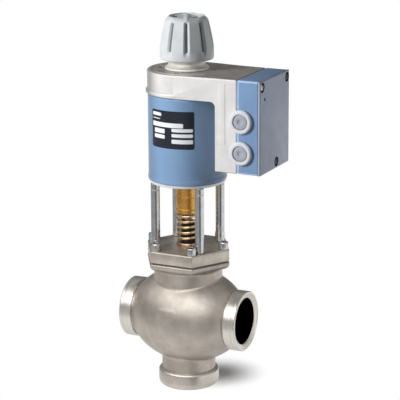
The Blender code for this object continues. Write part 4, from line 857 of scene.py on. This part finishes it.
# A flat outline given thickness along Z, with rounded edges
def roundedPlate(name, outline, bottom, top, edge):
    curve = bpy.data.curves.new(name, "CURVE")
    curve.dimensions = "2D"
    curve.fill_mode = "BOTH"
    spline = curve.splines.new("POLY")
    spline.points.add(len(outline) - 1)
    for point, (x, y) in zip(spline.points, outline):
        point.co = (x * mm, y * mm, 0, 1)
    spline.use_cyclic_u = True
    curve.extrude = ((top - bottom) / 2 - edge) * mm
    curve.bevel_depth = edge * mm
    curve.bevel_resolution = 4
    curve.offset = -edge * mm
    source = bpy.data.objects.new(name, curve)
    scene.collection.objects.link(source)
    mesh = evaluated(source)
    bpy.data.objects.remove(source)
    work = bmesh.new()
    work.from_mesh(mesh)
    bmesh.ops.remove_doubles(work, verts=work.verts, dist=0.002 * mm)
    bmesh.ops.translate(work, verts=work.verts, vec=(0, 0, (top + bottom) / 2 * mm))
    return asObject(name, work)


def entryHoles(start):
    holes = []
    for x, z in entryPlaces:
        hole = rod("entryHole", cover["entryHole"], start, halfWidth + 1, 48)
        holes.append(moveMesh(spin(hole, 90, "X"), x=x, z=z))
    return holes


# The lip stands out round the cap's front and fades into the side where the leg begins
def capLip():
    lip = hollow("capLip", [
        (canRadius - 2, capBottom, 0.2),
        *about(canRadius + cover["lip"], capBottom, (-0.8, 0, 0.5), (0, 1.0, 0.5), (0, 3.0, 0.6)),
        *about(canRadius, capBottom + cover["lipHeight"], (0.4, 0, 0.8), (-2, 1, 0.2)),
    ], 192, 34)
    for vertex in lip.data.vertices:
        x, y, z = vertex.co
        reach = math.hypot(x, y) / mm
        share = easeShare((x / mm + 6) / 26)
        pull = 1 + (min(reach, canRadius - 1.2) / reach - 1) * share
        vertex.co = (x * pull, y * pull, z)
    return lip


def coverShell():
    reach = math.hypot(legBack, halfWidth)
    touch = math.degrees(math.atan2(halfWidth, legBack) + math.acos(canRadius / reach))
    corner, far = cover["frontCorner"], canRadius + 3
    shell = roundedPlate("coverShell", [
        (legBack, -halfWidth), *arcPoints((legFront - corner, -halfWidth + corner), corner, -90, 0, 5),
        *arcPoints((legFront - corner, halfWidth - corner), corner, 0, 90, 5), (legBack, halfWidth),
        *arcPoints((0, 0), canRadius, touch, 360 - touch, 90),
    ], coverLow, coverTop, cover["edge"])
    inner = arcPoints((legBack - cover["corner"], capBottom - cover["corner"]), cover["corner"], 90, 0, 12)
    profile = roundedPlate("coverProfile", [
        (-far, coverTop + 3), (-far, capBottom), *inner, (legBack, coverLow - 3),
        (legFront + 3, coverLow - 3), (legFront + 3, coverTop + 3),
    ], -far, far, 0.0)
    combine(shell, [spin(profile, 90, "X")], "INTERSECT")
    combine(shell, [capLip()], "UNION")
    wall, inside, roof = cover["wall"], halfWidth - cover["wall"], coverTop - cover["wall"]
    cutters = [
        slab("legRoom", (legBack + wall, -inside, coverLow + wall), (legFront + 1, inside, roof)),
        slab("passage", (0, wall - inside, capBottom + wall), (legFront - wall, inside - wall, roof)),
        rod("capRoom", cover["room"], capBottom - 1, roof, 64),
        rod("neckHole", cover["neckHole"], roof - 1, coverTop + 1, 64),
    ]
    for x, y in screwPlaces:
        rows = about(0, coverTop, (0, -1.5), (3.4, -1.5), (3.4, -0.3), (3.9, 0.3), (0, 0.3))
        pocket = lathe("screwPocket", rows, 40)
        cutters.append(moveMesh(pocket, x=x, y=y))
    ditch = hollow("ditch", about(37, coverTop, (-0.6, -0.5), (0.6, -0.5), (1.0, 1), (-1.0, 1)), 128, 34)
    keepLeft = slab("keepLeft", (-far, -far, coverTop - 2), (30, far, coverTop + 2))
    combine(ditch, [keepLeft], "INTERSECT")
    combine(shell, [*cutters, *entryHoles(inside - 1), ditch])
    # The cover's upward faces at the top get the darker painted-shade finish
    twoTone(shell, "coverMetal", "coverTopShadedMetal",
            lambda face, x, y, z: face.normal.z > 0.92 and z > coverTop - 1.2)
    fit(shell, "housing", None, "cover_metal", "metal_cover")


coverShell()

# A faint raised panel on the leg, and small screws in the top of the cap
panel = slab("legPanel", (legBack + 3.4, -halfWidth - 0.35, coverLow + 30),
             (legBack + 11.6, -halfWidth + 1, coverTop - 5), 0.3)
fit(panel, "housing", "coverMetal", "cover_metal")


def slotScrew(name, radius, height, slotWidth):
    head = lathe(name, [
        (0, -0.6), (radius * 0.6, -0.6), (radius * 0.6, 0), (radius, 0, 0.1),
        (radius, height * 0.45, 0.2), (radius * 0.8, height * 0.85, 0.3), (0, height),
    ], 48)
    long, wide = radius * 0.62, slotWidth / 2
    cuts = []
    for x, y in ((long, wide), (wide, long)):
        cuts.append(slab("slotCut", (-x, -y, height * 0.35), (x, y, height + 1)))
    return combine(head, cuts)


# The cover screws are alike; screw 3 is black as painted shade
for i, (x, y) in enumerate(screwPlaces):
    screw = spin(slotScrew(f"coverScrew{i + 1}", 2.9, 1.7, 0.8), 31 * i + 12)
    moveMesh(screw, x, y, coverTop - 1.45)
    fit(screw, "housing", "blackPlasticAndShade" if i == 2 else "screwPlating", "zinc_plating",
        f"cover_screw_{i + 1}")

print("terminal box and lid")

box = {
    "wall": 2.8, "edge": 1.9, "screwInset": 6, "screwDrop": 6.8, "footSide": 5, "footRise": 6.8,
    "lidEdge": 0.8, "dimpleSide": -26, "dimpleDrop": 20.1, "seamInset": 0.7, "seamWidth": 2.3,
}
boxBack, boxFront = low("terminal_box", "x") - axisX, high("terminal_box", "x") - axisX
lidBack, lidFace = low("terminal_lid", "x") - axisX, high("terminal_lid", "x") - axisX
screwSide, screwHeight = halfWidth - box["screwInset"], coverTop - box["screwDrop"]
lidScrews = [(-screwSide, screwHeight), (screwSide, screwHeight),
             (box["footSide"], coverLow + box["footRise"])]


# A block over the whole height and width of the box, smaller all round by an inset
def boxBlock(name, back, front, inset, edge=0.0, segments=3):
    side = halfWidth - inset
    return slab(name, (back, -side, coverLow + inset), (front, side, coverTop - inset), edge, segments)


# Small bevel faces near the box's sides at plus and minus y, which get the painted highlight
def onBevel(face, x, y, z):
    flat = max(abs(part) for part in face.normal)
    return flat < 0.985 and face.area < 150 * mm * mm and abs(y) > halfWidth - 2


def terminalBox():
    shell = boxBlock("terminalBox", boxBack, boxFront + 5, 0, box["edge"], 4)
    trim = slab("trim", (boxFront, -2 * halfWidth, 0), (2 * boxFront, 2 * halfWidth, 2 * coverTop))
    room = boxBlock("room", boxBack + box["wall"], 2 * boxFront, box["wall"], 1.5)
    combine(shell, [trim, room, *entryHoles(halfWidth - 5)])
    fit(twoTone(shell, "bluePlastic", "blueEdgeHighlight", onBevel), "housing", None, "blue_plastic", "terminal_box")


# Faces sunk into the lid's front, the screw pockets and the dimple, which are painted black as shade
def inShadedPocket(face, x, y, z):
    inside = abs(y) < halfWidth - 0.2 and coverLow + 0.2 < z < coverTop - 0.2
    return inside and lidFace - 1.9 < x < lidFace - 0.15


def terminalLid():
    shell = boxBlock("terminalLid", lidBack, lidFace, 0, box["lidEdge"])
    cutters = []
    for y, z in lidScrews:
        pocket = lathe("pocket", about(0, lidFace, (0, -1.7), (4.7, -1.7), (5.2, -0.4), (5.5, 1), (0, 1)), 48)
        cutters.append(moveMesh(spin(pocket, 90, "Y"), y=y, z=z))
    dimple = lathe("dimple", about(0, lidFace, (0, -1.4), (1.5, -1.4), (1.7, 1), (0, 1)), 32)
    cutters.append(moveMesh(spin(dimple, 90, "Y"), y=box["dimpleSide"], z=coverTop - box["dimpleDrop"]))
    combine(shell, cutters)
    fit(twoTone(shell, "lidPlastic", "blackPlasticAndShade", inShadedPocket), "housing", None, "lid_plastic",
        "terminal_lid")


terminalBox()
terminalLid()
seam = boxBlock("lidSeam", boxFront - 0.3, lidBack + 0.3, box["seamInset"], 0.2)
combine(seam, [boxBlock("seamRoom", boxFront - 2, lidBack + 2, box["seamInset"] + box["seamWidth"])])
fit(seam, "housing", "blackPlasticAndShade", "seal")
# The lid screws are alike; all but the first get the plating darkened as painted shade
for i, (y, z) in enumerate(lidScrews):
    screw = spin(spin(slotScrew(f"lidScrew{i + 1}", 3.2, 1.6, 0.9), 25 + 40 * i), 90, "Y")
    moveMesh(screw, lidFace - 1.65, y, z)
    fit(screw, "housing", "screwPlating" if i == 0 else "shadedScrewPlating", "zinc_plating", f"lid_screw_{i + 1}")

print("cable entries")

entry = {"hole": 8.2, "shank": 10.5, "plug": 7.9, "screwedIn": 2.8}
entryRadius = (high("entry_ring_1") - low("entry_ring_1")) / 2
entryFront, entryBack = -low("entry_ring_1", "y"), halfWidth - entry["screwedIn"]
for i, (x, z) in enumerate(entryPlaces):
    face = halfWidth + 0.3
    ring = hollow(f"entryRing{i + 1}", [
        (entry["hole"], entryBack), (entry["shank"], entryBack), (entry["shank"], face),
        (entryRadius, face, 0.3), *about(entryRadius, entryFront, (0, -1.6, 0.8), (-1.6, 0, 0.8)),
        *about(entry["hole"], entryFront, (0.5, 0, 0.4), (0, -0.8, 0.2)),
    ], 96, 30)
    fit(moveMesh(spin(ring, 90, "X"), x=x, z=z), "housing", "entryPlastic", "white_plastic",
        f"entry_ring_{i + 1}")
    bung = lathe(f"entryPlug{i + 1}", [
        (0, entryBack), (entry["plug"], entryBack), (entry["plug"], entryFront - 1.3, 0.5),
        *about(0, entryFront, (6.4, -0.7, 0.5), (3.4, -0.8, 0.6), (2.2, -1.7, 0.6), (0, -1.8)),
    ], 80, angle=30)
    fit(moveMesh(spin(bung, 90, "X"), x=x, z=z), "housing", "plugPlastic", "grey_plastic",
        f"entry_plug_{i + 1}")

print("knob and neck")

neck = {"bore": 8.6, "shank": 12.7, "sleeve": 19.3, "room": 14.5}
neckLow, neckHigh, neckRadius = span("knob_neck")
neckFoot = coverTop + 0.3
fit(hollow("knobNeck", [
    (neck["bore"], neckLow, 0.2), (neck["shank"], neckLow, 0.4), (neck["shank"], neckFoot),
    *about(neckRadius, neckFoot, (-0.4, 0, 0.2), (0, 0.6, 0.4), (-0.3, 1.9, 0.5), (-2.3, 2.9, 0.8),
           (-3.9, 4.6, 1.0)),
    (neck["sleeve"], neckFoot + 6.2, 0.6), *about(neck["sleeve"], neckHigh, (0, -0.8, 0.4), (-0.8, 0, 0.3)),
    (neck["room"], neckHigh, 0.3), (neck["room"], neckFoot + 5.5), (neck["bore"], neckFoot + 5.5),
], 128), "housing", "neckSteel", "machined_steel", "knob_neck")

knobSpring = {"radius": 11.4, "wire": 1.4, "turns": 3.0, "endTurns": 0.5, "way": 2.5}
knobSpringFoot, knobSpringHead = low("knob_spring"), high("knob_spring")
pressSpring = woundWire("pressSpringWire", knobSpring["radius"], knobSpring["wire"], knobSpringFoot,
                        knobSpringHead, knobSpring["turns"], knobSpring["endTurns"], 32, 10)
fit(pressSpring, "housing", "screwPlating", "machined_steel", "knob_spring")
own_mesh(pressSpring)

# Shares are parts of the knob's height; "width" and the width of the painted groove shade are parts of the
# room between grooves
knobLow, knobHigh = low("knob"), high("knob")
knob = {
    "base": 28.7, "top": 20.6, "dome": 1.6, "grooves": 9, "firstGroove": -25.0, "depth": 3.6, "width": 0.33,
    "flatness": 0.95, "flatReach": 2.0, "perGroove": 28, "shadeWidth": 0.12, "shadeFrom": 0.22, "shadeDrop": 5.0,
    "topPlain": 0.05, "topFade": 0.10, "bottomPlain": 0.09, "bottomFade": 0.24,
    "recess": 3.5, "rim": 3.0, "skirtBore": 22.5, "spindleBore": 4.8, "ceiling": knobHigh - 33.5,
}
tall = knobHigh - knobLow


# How far an angle is from the middle of the nearest groove, from 0 to 1 half way to the next
def fromGroove(angle):
    turn = (angle - knob["firstGroove"]) * knob["grooves"] / 360
    return abs(turn - round(turn)) * 2


def knobReach(share, angle):
    plain = knob["base"] - (knob["base"] - knob["top"]) * share ** knob["dome"]
    off = fromGroove(angle)
    fade = easeShare((share - knob["bottomPlain"]) / knob["bottomFade"])
    topFade = easeShare((1 - share - knob["topPlain"]) / knob["topFade"])
    notch = math.sin(max(0.0, 1 - off / knob["width"]) * math.pi / 2) ** 1.3 * topFade
    half = math.pi / knob["grooves"]
    flat = (plain + knob["flatReach"]) * math.cos(half) / math.cos(half * (1 - off))
    return plain + (flat - plain) * knob["flatness"] * fade - knob["depth"] * notch * fade


# Faces deep in a groove, between set heights, which get the painted shade
def inGrooveShade(face, x, y, z):
    inside = fromGroove(math.degrees(math.atan2(y, x))) < knob["shadeWidth"]
    outer = math.hypot(x, y) > knob["top"] - knob["rim"] + 1.2
    return inside and outer and (z - knobLow) / tall > knob["shadeFrom"] and z < knobHigh - knob["shadeDrop"]


def knobBody():
    count = knob["grooves"] * knob["perGroove"]
    angles = [knob["firstGroove"] + 360 * i / count for i in range(count)]
    profile = [(0.0, 2.6), (0.15, 1.6), (0.55, 0.8), (1.2, 0.3), (2.0, 0.05)]
    profile += [(2.0 + (tall - 6.2) * i / 33, 0.0) for i in range(1, 34)]
    profile += [(tall - drop, inset) for inset, drop in
                ((0.25, 3.2), (0.8, 2.2), (1.5, 1.3), (2.1, 0.6), (2.6, 0.2), (2.9, 0.0))]
    work = bmesh.new()

    def ring(reaches, z):
        places = [circlePoint(reach * mm, angle) for reach, angle in zip(reaches, angles)]
        return [work.verts.new((x, y, z * mm)) for x, y in places]

    rings = []
    for rise, inset in profile:
        rings.append(ring([knobReach(rise / tall, angle) - inset for angle in angles], knobLow + rise))
    recess, bore, skirt = knob["top"] - knob["rim"], knob["spindleBore"], knob["skirtBore"]
    floor, ceiling = knobHigh - knob["recess"], knob["ceiling"]
    for reach, z in ((recess + 0.5, knobHigh), (recess + 0.1, knobHigh - 0.2), (recess, knobHigh - 0.6),
                     (recess, floor), (bore, floor), (bore, ceiling), (skirt, ceiling),
                     (skirt, knobLow + 0.4), (skirt + 0.4, knobLow)):
        rings.append(ring([reach] * count, z))
    bridge(work, rings + rings[:1])
    shape = twoTone(asObject("knobBody", work, 40), "knobPlastic", "knobGrooveShade", inGrooveShade)
    fit(shape, "knob", None, "grey_plastic", "knob")


knobBody()

knobDisc = {"sunk": 0.5, "barTurn": 112, "slotTurn": 70, "holeTurn": 25.5,
            "holeStretch": (1.05, 1.75, 1.0, 1)}


# The disc in the knob's top: a turning bar across it, a dark slot and an oval hole by the rim
def knobTopDisc():
    bottom, face = low("knob_cap"), high("knob_cap")
    sunk = face - knobDisc["sunk"]
    reach = knob["top"] - knob["rim"] - 0.3
    disc = lathe("knobTopDisc", [
        (0, bottom), (reach, bottom, 0.2),
        *about(reach, face, (0, -0.2, 0.3), (-0.9, 0, 0.3), (-2.2, 0, 0.3)),
        (reach - 2.8, sunk, 0.3), (0, sunk),
    ], 96, angle=30)
    hole = lathe("ovalHole", [(0, bottom + 0.6), (2.5, bottom + 0.6), (2.7, face + 1), (0, face + 1)], 40)
    hole.data.transform(Matrix.Diagonal(knobDisc["holeStretch"]))
    moveMesh(spin(hole, knobDisc["holeTurn"]), x=-13.2, y=-2.0)
    slot = spin(slab("slot", (-5.0, -2.4, bottom + 0.7), (5.0, 2.4, face + 1), 0.4), knobDisc["slotTurn"])
    combine(disc, [hole, moveMesh(slot, x=9.0, y=2.6)], angle=30)
    bar = slab("bar", (-13.6, -2.1, face - 1), (13.6, 2.1, knobHigh - 0.2), 0.7)
    combine(disc, [spin(bar, knobDisc["barTurn"])], "UNION", angle=30)
    # The walls inside the slot and the oval hole are painted black as shade
    twoTone(disc, "knobTopPaintedLight", "blackPlasticAndShade", lambda part, x, y, z:
            bottom + 0.1 < z < face - 0.7 and math.hypot(x, y) < reach - 0.4)
    fit(disc, "knob", None, "grey_plastic", "knob_cap")


knobTopDisc()

print("finishes of the nodes that stay")

kept = {
    "armature": "plainSteel", "armature_nut": "nickel", "pole_piece": "plainSteel",
    "flux_plate": "plainSteel", "coil_bobbin": "blackPlasticAndShade", "coil_winding": "windingCopper",
    "guide_tube": "brass", "guide_bush": "brass", "stem_packing": "sealGraphite",
    "bonnet_gasket": "plainSteel", "circuit_board": "boardGreen", "terminal_block": "plugPlastic",
    "spindle": "turnedUpright", "knob_screw": "screwPlating", "retaining_ring": "plainSteel",
    "press_sleeve": "brass", "plug_nut": "turnedUpright",
}
for node, finish in kept.items():
    data = nodes[node].data
    data.materials.clear()
    data.materials.append(finishes[finish])

print("floor, light and camera")

viewTurn, viewTilt = math.radians(25.5), math.radians(14.9)
right = Vector((math.cos(viewTurn), math.sin(viewTurn), 0))
away = Vector((-math.sin(viewTurn), math.cos(viewTurn), 0))
middlePoint = Vector((axisX * mm, 0, 0.2))

# Metres, and levels of light. A lamp has degrees to the right of the camera, degrees above the floor,
# distance, size and power
studio = {
    "floorSize": 6.0, "shadowRight": 0.031, "shadowBack": 0.027, "shadowFull": 0.006, "shadowEnd": 0.060,
    "seenFloor": 0.66, "bounceFloor": 0.40, "worldLevel": 0.09, "tentRadius": 2.6, "tentBlend": 4,
    "lamps": {"keyLamp": (-62, 22, 1.5, (0.45, 0.7), 28.0), "fillLamp": (115, 8, 1.6, (0.6, 0.6), 12.0)},
}


# A material that glows or scatters by its own nodes only, and its output
def bareMaterial(name, obj):
    finish = bpy.data.materials.new(name)
    finish.use_nodes = True
    finish.node_tree.nodes.clear()
    obj.name = name
    obj.data.materials.append(finish)
    return finish.node_tree, addNode(finish.node_tree, "OutputMaterial").inputs[0]


# Where light falls on the floor behind the object it is grey, and elsewhere it is as white as the background
def floorSheet():
    bpy.ops.mesh.primitive_plane_add(size=studio["floorSize"], location=(axisX * mm, 0, -0.05 * mm))
    floor = bpy.context.active_object
    floor.visible_glossy = False
    tree, output = bareMaterial("paleFloor", floor)
    offset = addNode(tree, "VectorMath", operation="SUBTRACT")
    offset.inputs[1].default_value = right * studio["shadowRight"] + away * studio["shadowBack"]
    tree.links.new(addNode(tree, "TexCoord").outputs["Object"], offset.inputs[0])
    length = addNode(tree, "VectorMath", operation="LENGTH")
    tree.links.new(offset.outputs[0], length.inputs[0])
    white = rangeNode(tree, length.outputs["Value"], studio["shadowFull"], studio["shadowEnd"],
                      kind="SMOOTHSTEP")
    rays = addNode(tree, "LightPath")
    seen = mathNode(tree, "MAXIMUM", rays.outputs["Is Camera Ray"], rays.outputs["Is Transmission Ray"])
    matt = addNode(tree, "BsdfDiffuse")
    tree.links.new(rangeNode(tree, seen, 0.0, 1.0, studio["bounceFloor"], studio["seenFloor"]),
                   matt.inputs["Color"])
    mix = addNode(tree, "MixShader")
    tree.links.new(mathNode(tree, "MULTIPLY", white, seen), mix.inputs[0])
    tree.links.new(matt.outputs[0], mix.inputs[1])
    tree.links.new(addNode(tree, "Emission").outputs[0], mix.inputs[2])
    tree.links.new(mix.outputs[0], output)


floorSheet()

world = bpy.data.worlds.new("studio")
scene.world = world
world.use_nodes = True
tree = world.node_tree
ground = tree.nodes["Background"]
ground.inputs["Color"].default_value = (1, 1, 1, 1)
rays = addNode(tree, "LightPath")
seen = mathNode(tree, "MAXIMUM", rays.outputs["Is Camera Ray"], rays.outputs["Is Glossy Ray"])
seen = mathNode(tree, "MAXIMUM", seen, rays.outputs["Is Transmission Ray"])
tree.links.new(rangeNode(tree, seen, 0.0, 1.0, studio["worldLevel"], 1.0), ground.inputs["Strength"])

# Brightness of the studio tent round the object, which only reflections see. Each band is a row of
# (degrees to the right of the camera, level), and the bands lie over each other by height in degrees
tentBands = [
    (-34, [(-180, 0.70), (-120, 0.85), (-20, 0.92), (10, 0.80), (60, 0.85), (180, 0.70)]),
    (-15, [(-180, 0.85), (-150, 0.60), (-110, 0.42), (-10, 0.46), (4, 0.16), (30, 0.14), (40, 1.0),
           (140, 1.0), (180, 0.85)]),
    (8, [(-180, 0.10), (-120, 0.16), (-80, 0.26), (-20, 0.22), (30, 0.16), (45, 0.55), (100, 0.55),
         (125, 0.12), (180, 0.10)]),
    (27, [(-180, 0.20), (-120, 0.45), (-80, 1.40), (-40, 2.40), (5, 2.40), (35, 0.70), (90, 0.60),
          (150, 0.20), (180, 0.20)]),
    (42, [(-180, 0.25), (-120, 0.60), (-80, 1.80), (-40, 2.80), (5, 2.80), (35, 0.90), (90, 0.60),
          (150, 0.25), (180, 0.25)]),
    (72, [(-180, 0.12), (0, 0.20), (180, 0.12)]),
]


def reflectionTent():
    bpy.ops.mesh.primitive_uv_sphere_add(segments=48, ring_count=24, radius=studio["tentRadius"],
                                         location=middlePoint)
    tent = bpy.context.active_object
    for kind in ("camera", "diffuse", "shadow", "transmission"):
        setattr(tent, "visible_" + kind, False)
    tree, output = bareMaterial("reflectionTent", tent)
    turned = addNode(tree, "VectorRotate", rotation_type="Z_AXIS")
    turned.inputs["Angle"].default_value = math.radians(90) - viewTurn
    tree.links.new(addNode(tree, "TexCoord").outputs["Object"], turned.inputs["Vector"])
    parts = addNode(tree, "SeparateXYZ")
    tree.links.new(turned.outputs[0], parts.inputs[0])
    x, y, z = parts.outputs
    share = rangeNode(tree, mathNode(tree, "ARCTAN2", y, x), -math.pi, math.pi)
    height = mathNode(tree, "ARCSINE", mathNode(tree, "DIVIDE", z, studio["tentRadius"]))
    last = None
    for i, (tilt, row) in enumerate(tentBands):
        ramp = addNode(tree, "ValToRGB")
        stops = ramp.color_ramp.elements
        while len(stops) < len(row):
            stops.new(0.5)
        for stop, (degrees, level) in zip(stops, row):
            stop.position = (degrees + 180) / 360
            stop.color = (level, level, level, 1)
        tree.links.new(share, ramp.inputs[0])
        tone = ramp.outputs[0]
        if last is not None:
            start = math.radians(tentBands[i - 1][0] + studio["tentBlend"])
            blend = rangeNode(tree, height, start, math.radians(tilt - studio["tentBlend"]),
                              kind="SMOOTHSTEP")
            tone = mixColours(tree, blend, last, tone)
        last = tone
    glow = addNode(tree, "Emission")
    tree.links.new(last, glow.inputs["Color"])
    tree.links.new(glow.outputs[0], output)


reflectionTent()


# A direction given by degrees to the right of the camera and degrees above the floor
def towards(turn, tilt, distance):
    angle = viewTurn + math.radians(turn)
    flat = Vector((math.sin(angle), -math.cos(angle), 0)) * math.cos(math.radians(tilt))
    return middlePoint + (flat + Vector((0, 0, math.sin(math.radians(tilt))))) * distance


for name, (turn, tilt, distance, size, power) in studio["lamps"].items():
    lamp = bpy.data.lights.new(name, "AREA")
    lamp.shape = "RECTANGLE"
    lamp.size, lamp.size_y = size
    lamp.energy = power
    obj = bpy.data.objects.new(name, lamp)
    scene.collection.objects.link(obj)
    obj.location = towards(turn, tilt, distance)
    obj.rotation_euler = (middlePoint - obj.location).to_track_quat("-Z", "Y").to_euler()
    obj.visible_glossy = False

# Focal length in the picture's points, and where the foot of the stem's axis stands in the picture
camera = {
    "lens": 174.33, "sensor": 36, "distance": 2.135, "focal": 1937.0, "middle": 200,
    "baseX": 188.2, "baseY": 380.9, "roll": 0.28, "near": 0.05, "far": 50,
}


def photoCamera():
    data = bpy.data.cameras.new("photoCamera")
    data.lens = camera["lens"]
    data.sensor_width = camera["sensor"]
    data.clip_start = camera["near"]
    data.clip_end = camera["far"]
    obj = bpy.data.objects.new("photoCamera", data)
    scene.collection.objects.link(obj)
    back = Vector((math.sin(viewTurn) * math.cos(viewTilt), -math.cos(viewTurn) * math.cos(viewTilt),
                   math.sin(viewTilt)))
    up = back.cross(right)
    pixel = camera["distance"] / camera["focal"]
    target = Vector((axisX * mm, 0, 0)) - right * (camera["baseX"] - camera["middle"]) * pixel
    target += up * (camera["baseY"] - camera["middle"]) * pixel
    roll = math.radians(camera["roll"])
    tiltedRight = right * math.cos(roll) - up * math.sin(roll)
    tiltedUp = up * math.cos(roll) + right * math.sin(roll)
    turn = Matrix((tiltedRight, tiltedUp, back)).transposed().to_4x4()
    obj.matrix_world = Matrix.Translation(target + back * camera["distance"]) @ turn
    scene.camera = obj


photoCamera()
scene.view_settings.view_transform = "Standard"
print("done")
